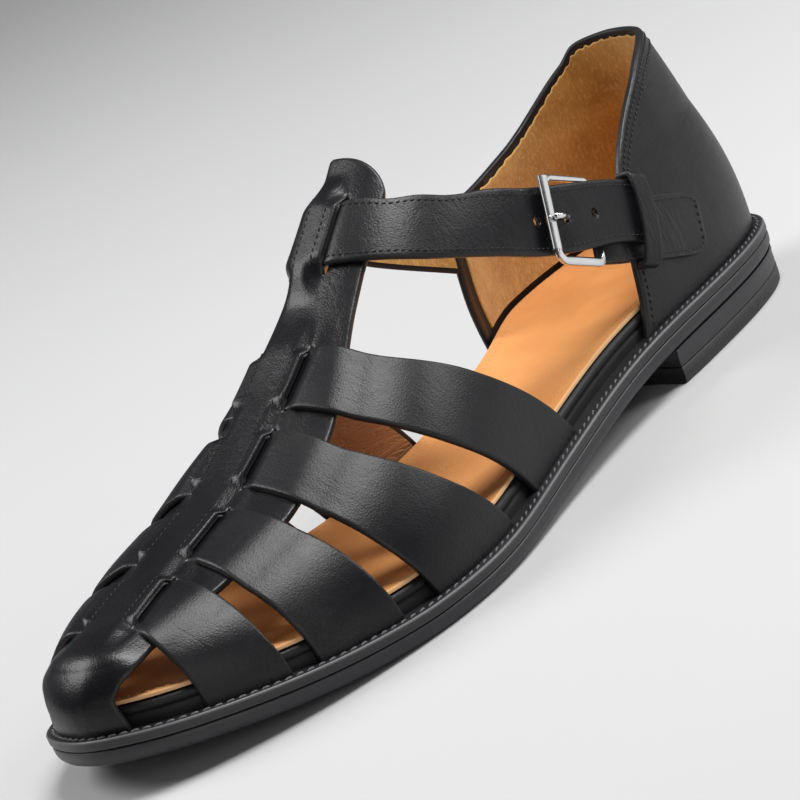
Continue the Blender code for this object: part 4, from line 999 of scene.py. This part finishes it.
def sewQuarter(side, station, z):
    # normals come from the wall itself
    row = quarterPoint(station, z, side, 0.0)
    stitchRow("quarterStitches", row, unit(quarterPoint(station, z, side, 1.0) - row), toplineStitch)


for side, last in ((1, 74.5), (-1, 75)):
    for drop in (2.2, 4.6):
        station = np.linspace(0.6, last, 400)
        sewQuarter(side, station, curve(*toplineRows[side].T, station) - drop)
for side, high in ((1, 29), (-1, 42)):
    sewQuarter(side, np.full(200, 74.8), np.linspace(1.5, high, 200))
print("quarter and lining ready")

# ankle strap: through the slots, round to the buckle; its edges are smooth curves through these marks,
# each of them a point of the upper and one of the lower edge
ankle = {"thick": 1.9, "edge": 0.85, "worn": 0.8, "width": 18.6, "dip": 1.2, "tailOut": 4.3, "crown": 0.25,
         "stitchIn": 1.9, "over": 2.2}
# the tail over the quarter: station and height of the upper edge, then of the lower one
tailRows = [(95, 50.8, 103, 34.4), (82.4, 45.0, 90, 29.2), (67.8, 37.6, 74.5, 21.0)]
lateralMarks = [((32.8, 27.1, 79.9), (36.0, 16.0, 64.6)), ((34.6, 41.2, 73.2), (37.0, 33.0, 56.0))]
medialMarks = [((-15.4, 16.0, 90.2), (-18.5, 4.5, 78.8)), ((-21.2, 36.0, 78.8), (-23.0, 29.5, 63.6))]
rootRow = (94.6, 47.9, 96.7, 30.2)
# over the instep: the arcs of the marks, and the stations of both edges by arc
overArcs = (36.7, 29, 22, 15, 10.2, 7.1, 1.6, -3.9, -7.0, -12, -18, -25)
upperEdge = np.array([(-25, 142.5), (-18, 146.5), (-5, 149.6), (8, 149.6), (21.5, 146.0), (36.7, 135.4)])
lowerEdge = np.array([(-25, 157), (-18, 161), (-5, 164.8), (9.5, 164.8), (16.4, 163.5), (23.3, 161.1),
                      (31, 157), (36.7, 153)])


def wallPair(row, side, out):
    return heelWall(row[0], row[1], side, out), heelWall(row[2], row[3], side, out)


def overPoint(u, arc):
    # a point of the strap over the instep; it dips where it passes under the centre strap
    v = vAt(u, arc)
    n = unit(np.cross(instep(u + 0.5, v) - instep(u - 0.5, v), instep(u, v + 0.004) - instep(u, v - 0.004)))
    lift = ankle["over"] - (ankle["dip"] if abs(arc - 1.6) < 6 else 0)
    return instep(u, v) + n * lift * (1 if n[2] > 0 else -1)


def ankleMarks():
    marks = [wallPair(row, 1, ankle["tailOut"]) for row in tailRows[::-1]] + lateralMarks[::-1]
    for arc in overArcs:
        marks.append([overPoint(np.interp(arc, *edge.T), arc) for edge in (upperEdge, lowerEdge)])
    return np.array(marks + medialMarks + [wallPair(rootRow, -1, 0.0)], float)


marks = ankleMarks()
ankleRun = runAlong(marks.mean(axis=1))


def ankleEdges(distance):
    # upper and lower edge; they run straight on past the end on the medial side
    end = ankleRun[-1]
    both = []
    for e in (0, 1):
        at, before, last = (np.stack([curve(ankleRun, marks[:, e, k], d) for k in range(3)], -1)
                            for d in (np.clip(distance, 0, end), end - 1, end))
        both.append(at + np.maximum(distance - end, 0)[..., None] * (last - before))
    return both


def ankleFrame(distance):
    # centre, outward normal, up and forward directions of the strap
    d = np.asarray([distance - 0.5, distance + 0.5, distance], float)
    top, foot = ankleEdges(d)
    centre = (top + foot) / 2
    up = unit((top - foot)[2])
    ahead = centre[1] - centre[0]
    ahead = unit(ahead - up * (ahead @ up))
    normal = np.cross(up, ahead)
    if normal @ (centre[2] - insideShoe) < 0:
        normal = -normal
    return centre[2], normal, up, ahead


def ankleSurface(distance, t):
    top, foot = ankleEdges(distance)
    return top * (1 - t[..., None]) + foot * t[..., None]


ankleCells = edged(ankle["width"], 22)
ankleRows = np.concatenate([np.array([0, 0.06, 0.18, 0.36, 0.65]), np.arange(1.0, ankleRun[-1] + 0.6, 0.75)])
d, t = np.meshgrid(ankleRows, ankleCells, indexing="ij")
surface = ankleSurface(d, t)
normals = gridNormals(surface, (0, 0, 1))
normals = normals * np.sign((normals * (surface - insideShoe)).sum(-1).mean())
fromEdge = np.minimum(t, 1 - t) * ankle["width"]
crown = ankle["crown"] * np.sin(np.pi * t) * (1 - smooth(ankleRun[-1] - 10, ankleRun[-1], d))
underQuarter = smooth(ankleRun[-1] - 4, ankleRun[-1] + 1, d) * 0.35
surface = surface + normals * (crown - underQuarter)[..., None]
slotAt = float(ankleRun[len(tailRows) + len(lateralMarks) + 4])
strain = 0.04 + 0.10 * np.exp(-((d - 57) / 9) ** 2) + 0.06 * np.exp(-(fromEdge / 2.5) ** 2)
anklePiece = leatherSheet("ankleStrap", surface, normals, ankle, np.minimum(fromEdge, d), ankleLeather, suede,
                          strain=np.clip(strain, 0, 1))
standsFor(anklePiece, "AnkleStrap")
holeSet = {"places": (24.2, 35.5, 46.8), "radius": 1.4}


def punchHoles(piece):
    # round cutters along the strap's normal at each hole
    for place in holeSet["places"]:
        centre, normal, up, ahead = ankleFrame(place)
        a = np.linspace(0, 2 * np.pi, 20, endpoint=False)[:, None]
        ring = centre + holeSet["radius"] * (np.cos(a) * ahead + np.sin(a) * up)
        stack = np.concatenate([ring - normal * 4, ring + normal * 3])
        number = np.arange(20)
        faces = np.stack([number, np.roll(number, -1), np.roll(number, -1) + 20, number + 20], -1).tolist()
        faces += [number[::-1].tolist(), (number + 20).tolist()]
        cutter = addMesh("holeCutter", stack, faces, [cutEdge], ride=False)
        cut = piece.modifiers.new("hole", "BOOLEAN")
        cut.operation, cut.solver, cut.object = "DIFFERENCE", "EXACT", cutter
        with bpy.context.temp_override(object=piece, active_object=piece):
            bpy.ops.object.modifier_apply(modifier=cut.name)
        bpy.data.objects.remove(cutter)


punchHoles(anklePiece)
ankleStitch = {"pitch": 1.9, "length": 1.45, "radius": 0.20, "lift": 0.12, "dip": 0.32, "slant": 0.14}
for share in (ankle["stitchIn"] / ankle["width"], 1 - ankle["stitchIn"] / ankle["width"]):
    for first, last in ((1.5, slotAt + 1.0), (slotAt + 13, ankleRun[-1] - 2)):
        dRow = np.linspace(first, last, 500)
        row = ankleSurface(dRow, np.full(500, share))
        beside = ankleSurface(dRow, np.full(500, share) + 0.02)
        n = unit(np.cross(np.gradient(row, axis=0), beside - row))
        n = n * np.sign((n * (row - insideShoe)).sum(-1, keepdims=True))
        stitchRow("ankleStitches", row + n * ankle["crown"] * 0.3, n, ankleStitch)
print("ankle strap ready")

# base tab on the lateral quarter, folded round the buckle's back bar
baseTab = {"thick": 1.6, "edge": 0.7, "worn": 0.8, "back": -26.5, "front": 19.0, "turn": -19.5,
           "turnLong": 8.6, "drop": 4.6, "gap": 0.3, "stitchIn": 1.7}
tabOut = baseTab["gap"] + baseTab["thick"]


def wallSpot(target):
    # station and height on the heel wall nearest to each point, by repeated corrections
    u, z = heelY - target[..., 1], 0 * target[..., 1]
    for _ in range(4):
        at = heelWall(u, z, 1, 0.0)
        z = z + target[..., 2] - at[..., 2]
        u = u - (target[..., 1] - at[..., 1])
    return u, z


def tabPoint(distance, w, out):
    # distance is along the strap, w -1 to 1 across the tab, whose back end is half an ellipse
    end = (baseTab["turn"] - distance) / baseTab["turnLong"]
    narrowed = np.sqrt(np.clip(1 - end ** 2, 0.02, 1))
    half = ankle["width"] / 2 * np.where(distance < baseTab["turn"], narrowed, 1.0)
    top, foot = ankleEdges(np.maximum(distance, 0.0))
    ahead = ankleFrame(0.0)[3]
    spot = ((top + foot) / 2 + ahead * np.minimum(distance, 0)[..., None]
            + unit(top - foot) * (half * w - baseTab["drop"])[..., None])
    u, z = wallSpot(spot)
    return heelWall(u, z, 1, out)


def sewTab(distance, w):
    row = tabPoint(distance, w, tabOut)
    stitchRow("ankleStitches", row, unit(row - tabPoint(distance, w, 0.0)), ankleStitch)


dTab = np.concatenate([baseTab["back"] + np.array([0, 0.06, 0.2, 0.4, 0.7]),
                       np.linspace(baseTab["back"] + 1, baseTab["front"], 66)])
wTab = 1 - 2 * ankleCells
dTab, wTab = np.meshgrid(dTab, wTab, indexing="ij")
tabOuter = tabPoint(dTab, wTab, tabOut)
fromEdge = np.minimum((1 - np.abs(wTab)) * ankle["width"] / 2, dTab - baseTab["back"])
tabPiece = leatherSheet("baseTab", tabOuter, gridNormals(tabOuter, (1, 0, 0)), baseTab, fromEdge, tabLeather,
                        strain=0.06 + 0.3 * np.exp(-((dTab + 8) / 6) ** 2))
standsFor(tabPiece, "StrapBase")
seam = 1 - 2 * baseTab["stitchIn"] / ankle["width"]
for w in (seam, -seam):
    sewTab(np.linspace(baseTab["back"] + 1.2, baseTab["front"] - 1, 200), np.full(200, w))
sewTab(np.full(60, baseTab["back"] + 1.9), np.linspace(-0.75, 0.75, 60))
print("base tab ready")

# keeper: arched band over the strap
keeper = {"place": 4.2, "long": 6.5, "thick": 1.3, "edge": 0.5, "worn": 0.6}


def keeperPiece():
    # the band's section: places across the strap and out from it, joined by a smooth curve
    half = ankle["width"] / 2
    low = -half - baseTab["drop"]
    path = np.array([(low - 1.9, -3.4), (low - 1.95, -1.9), (low - 1.4, -0.4), (low + 0.2, 0.9),
                     (-half + 1.2, 2.3), (0, 2.9), (half - 1.2, 2.35), (half + 0.9, 1.75),
                     (half + 1.75, 0.6), (half + 1.95, -1.2), (half + 1.9, -3.4)], float)
    s = np.linspace(0, len(path) - 1, 90)
    w, h = (curve(np.arange(len(path)), path[:, k], s)[:, None] for k in (0, 1))
    along = (edged(keeper["long"], 12, 0.7) - 0.5) * keeper["long"]
    frames = [ankleFrame(keeper["place"] + step)[:3] for step in along]
    grid = np.array([centre + up * w + normal * h for centre, normal, up in frames])
    fromEdge = np.broadcast_to((keeper["long"] / 2 - np.abs(along))[:, None], grid.shape[:2])
    piece = leatherSheet("keeperLoop", grid, gridNormals(grid, ankleFrame(keeper["place"])[1]), keeper,
                         fromEdge, tabLeather, strain=np.full(grid.shape[:2], 0.25))
    standsFor(piece, "Keeper")


keeperPiece()

# buckle: closed frame with broad lower side, a flat sleeve on its front bar and a round bar under the
# strap; prong with a rounded end
buckle = {"place": 31.4, "long": 24.6, "bar": 1.7, "tall": 25.0, "corner": 3.4, "side": 2.6, "thick": 1.7,
          "clear": 0.9, "backDrop": 2.0, "square": 0.55}
sleeve = {"low": -8.6, "high": 11.9, "radius": 2.3, "flat": 0.38, "ahead": 0.6, "out": 0.3}


def buckleFrame():
    # both bars' middles, the strap's up, and the directions from back to front and outward
    normal, up = ankleFrame(buckle["place"])[1:3]
    reach = (buckle["long"] - buckle["bar"]) / 2
    over, under = ankleFrame(buckle["place"] + reach), ankleFrame(buckle["place"] - reach)
    off = buckle["bar"] / 2 + buckle["clear"]
    front = over[0] + over[1] * off
    back = under[0] - under[1] * (ankle["thick"] + off) - up * buckle["backDrop"]
    lie = unit(front - back)
    face = np.cross(up, lie)
    return front, back, up, lie, face if face @ normal > 0 else -face


def frameOutline(a, b, r):
    # rounded rectangle: an arc at each corner, and ten steps along each straight side
    corners = []
    for sx, sy in ((1, 1), (-1, 1), (-1, -1), (1, -1)):
        angle = math.atan2(sy, sx) - math.pi / 4 + np.linspace(0, math.pi / 2, 14)
        arc = np.stack([sx * (a - r) + r * np.cos(angle), sy * (b - r) + r * np.sin(angle)], -1)
        corners.append(arc)
    path = []
    for arc, following in zip(corners, corners[1:] + corners[:1]):
        w = (np.arange(10) / 10)[:, None]
        path += [arc[:-1], arc[-1] * (1 - w) + following[0] * w]
    return np.concatenate(path)


def bucklePiece():
    # rounded square section carried round the frame, broader along the lower side
    front, back, up, lie, face = buckleFrame()
    a, b = np.linalg.norm(front - back) / 2, buckle["tall"] / 2 - buckle["bar"] / 2
    path = frameOutline(a, b, buckle["corner"])
    along = np.roll(path, -1, 0) - np.roll(path, 1, 0)
    outward = unit(np.stack([along[:, 1], -along[:, 0]], -1))
    outward *= np.sign((outward * path).sum(1, keepdims=True))
    onSide = smooth(-0.55, -0.95, path[:, 1] / b) * (1 - smooth(0.5, 0.9, path[:, 0] / a) * 0.5)
    halfWide = (buckle["bar"] + (buckle["side"] - buckle["bar"]) * onSide) / 2
    angle = np.linspace(0, 2 * np.pi, 20, endpoint=False)
    cx, cy = (np.sign(wave) * np.abs(wave) ** buckle["square"] for wave in (np.cos(angle), np.sin(angle)))
    plan = path[:, None] + outward[:, None] * (halfWide[:, None] * cx)[..., None]
    high = np.broadcast_to(buckle["thick"] / 2 * cy, plan.shape[:2])
    points = (front + back) / 2 + plan[..., :1] * lie + plan[..., 1:] * up + high[..., None] * face
    number = np.arange(points.shape[0] * 20).reshape(-1, 20)
    nxt, across = np.roll(number, -1, 0), np.roll(number, -1, 1)
    faces = np.stack([number, across, np.roll(across, -1, 0), nxt], -1).reshape(-1, 4)
    piece = addMesh("buckleFrame", points.reshape(-1, 3), faces, [steel], sharp=70)
    standsFor(piece, "Buckle")
    line = front + lie * sleeve["ahead"] + face * sleeve["out"]
    line = line + up * np.linspace(sleeve["low"], sleeve["high"], 24)[:, None]
    piece = tube("buckleSleeve", line, sleeve["radius"], 24, steel, sleeve["flat"], face)
    standsFor(piece, "Buckle")


roll = {"place": 14.5, "under": 4.3, "long": 8.2, "high": 2.3, "thick": 1.3, "edge": 0.5}


def tabRoll():
    # flattened loop of the tab's leather round the back bar, open at its ends: an ellipse carried across
    width = ankle["width"]
    angle, w = np.meshgrid(np.linspace(0, 2 * np.pi, 49), (0.5 - edged(width, 16)) * width, indexing="ij")
    centre, normal, up, ahead = ankleFrame(roll["place"])
    middle = centre - normal * roll["under"] - up * baseTab["drop"]
    c, s = np.cos(angle)[..., None], np.sin(angle)[..., None]
    grid = middle + c * roll["long"] * ahead + s * roll["high"] * normal + w[..., None] * up
    outward = unit(c / roll["long"] * ahead + s / roll["high"] * normal)
    piece = leatherSheet("tabRoll", grid, outward, roll, width / 2 - np.abs(w), tabLeather)
    standsFor(piece, "StrapBase")


def prongPiece():
    # from under the strap up through the hole and over the front bar
    front, _, up, _, face = buckleFrame()
    normal, ahead = (ankleFrame(buckle["place"])[k] for k in (1, 3))
    hole = ankleFrame(holeSet["places"][1])[0]
    path = np.array([hole - normal * 2.4 - ahead * 3.0, hole - normal * 1.0 - ahead * 0.6,
                     hole + normal * 0.8 + ahead * 0.6, hole + normal * 1.9 + ahead * 2.4,
                     front + face * 2.9 - ahead * 1.0, front + face * 3.0 + ahead * 0.9,
                     front + face * 2.7 + ahead * 1.9])
    s = np.linspace(0, len(path) - 1, 60)
    line = np.stack([curve(np.arange(len(path)), path[:, k], s) for k in range(3)], -1)
    radius = np.interp(s, (0, 2, 4, 5.2, 5.7, 6), (0.95, 1.0, 0.95, 1.15, 0.95, 0.25))
    standsFor(tube("buckleProng", line, radius, 16, steel, 0.85, up), "Prong")


bucklePiece()
tabRoll()
prongPiece()
print("keeper, buckle and prong ready")
for kind, material, slotName in (
        ("weltStitches", greyThread, "welt_edge"), ("sockStitches", tanThread, "tan_leather"),
        ("vampStitches", blackThread, "black_leather"), ("quarterStitches", blackThread, "quarter_leather"),
        ("ankleStitches", blackThread, "strap_leather")):
    sewStitches(kind, material)

# floor, light and camera; the camera's turn about its own axis gives the photograph's slant
view = {"azimuth": 45.3, "elevation": 15.4, "roll": -24.3, "distance": 1026.9, "lens": 170.43,
        "aside": -2.7, "above": -0.8, "target": (0.0, 0.0, 35.0)}


def cameraAxes():
    az, el, roll = (math.radians(view[k]) for k in ("azimuth", "elevation", "roll"))
    back = np.array([math.sin(az) * math.cos(el), -math.cos(az) * math.cos(el), math.sin(el)])
    right = unit(np.cross(-back, (0, 0, 1)))
    up = np.cross(right, -back)
    turned = math.cos(roll) * right + math.sin(roll) * up
    upward = -math.sin(roll) * right + math.cos(roll) * up
    place = np.array(view["target"]) + back * view["distance"] - np.array([footCentre, 0, 0])
    return place + turned * view["aside"] + upward * view["above"], turned, upward, back


def addCamera():
    place, right, up, back = cameraAxes()
    data = bpy.data.cameras.new("photoCamera")
    data.lens, data.sensor_width = view["lens"], 36.0
    data.clip_start, data.clip_end = 0.01, 50.0
    camera = bpy.data.objects.new("photoCamera", data)
    bpy.context.scene.collection.objects.link(camera)
    rows = [[*(float(v[k]) for v in (right, up, back)), float(place[k]) / 1000] for k in range(3)]
    camera.matrix_world = Matrix(rows + [[0, 0, 0, 1]])
    bpy.context.scene.camera = camera


def areaLight(name, place, target, size, power):
    data = bpy.data.lights.new(name, "AREA")
    data.shape, data.size, data.energy = "DISK", size, power
    light = bpy.data.objects.new(name, data)
    light.location = place
    light.rotation_euler = (Vector(target) - Vector(place)).to_track_quat("-Z", "Y").to_euler()
    bpy.context.scene.collection.objects.link(light)


def addFloor():
    material, tree, shader, place = newMaterial("paleFloor", 0.75, 0.2)
    speck = noise(tree, place, 4.0, 3.0)
    finish(tree, shader, colour=mixColour(tree, speck, (0.46, 0.46, 0.46), (0.49, 0.49, 0.49)))
    size = 6000.0
    corners = [(-size, -size, 0), (size, -size, 0), (size, size, 0), (-size, size, 0)]
    addMesh("floorPlane", corners, [(0, 1, 2, 3)], [material], merge=None, ride=False)


addFloor()
addCamera()
areaLight("overheadSoft", (0.35, 0.30, 1.4), (0, 0, 0.03), 0.75, 24)
areaLight("keySoft", (-0.9, -0.5, 1.1), (0, -0.02, 0.03), 0.9, 15)
areaLight("rimSoft", (0.75, 1.0, 0.7), (0, 0.08, 0.05), 0.7, 9)
areaLight("fillSoft", (1.3, -1.0, 0.6), (0, 0, 0.03), 1.2, 5)
world = bpy.data.worlds.new("softRoom")
world.use_nodes = True
world.node_tree.nodes["Background"].inputs["Color"].default_value = (0.9, 0.92, 0.95, 1)
world.node_tree.nodes["Background"].inputs["Strength"].default_value = 0.10
bpy.context.scene.world = world
bpy.context.scene.view_settings.view_transform = "Standard"
print("floor, lights and camera ready")
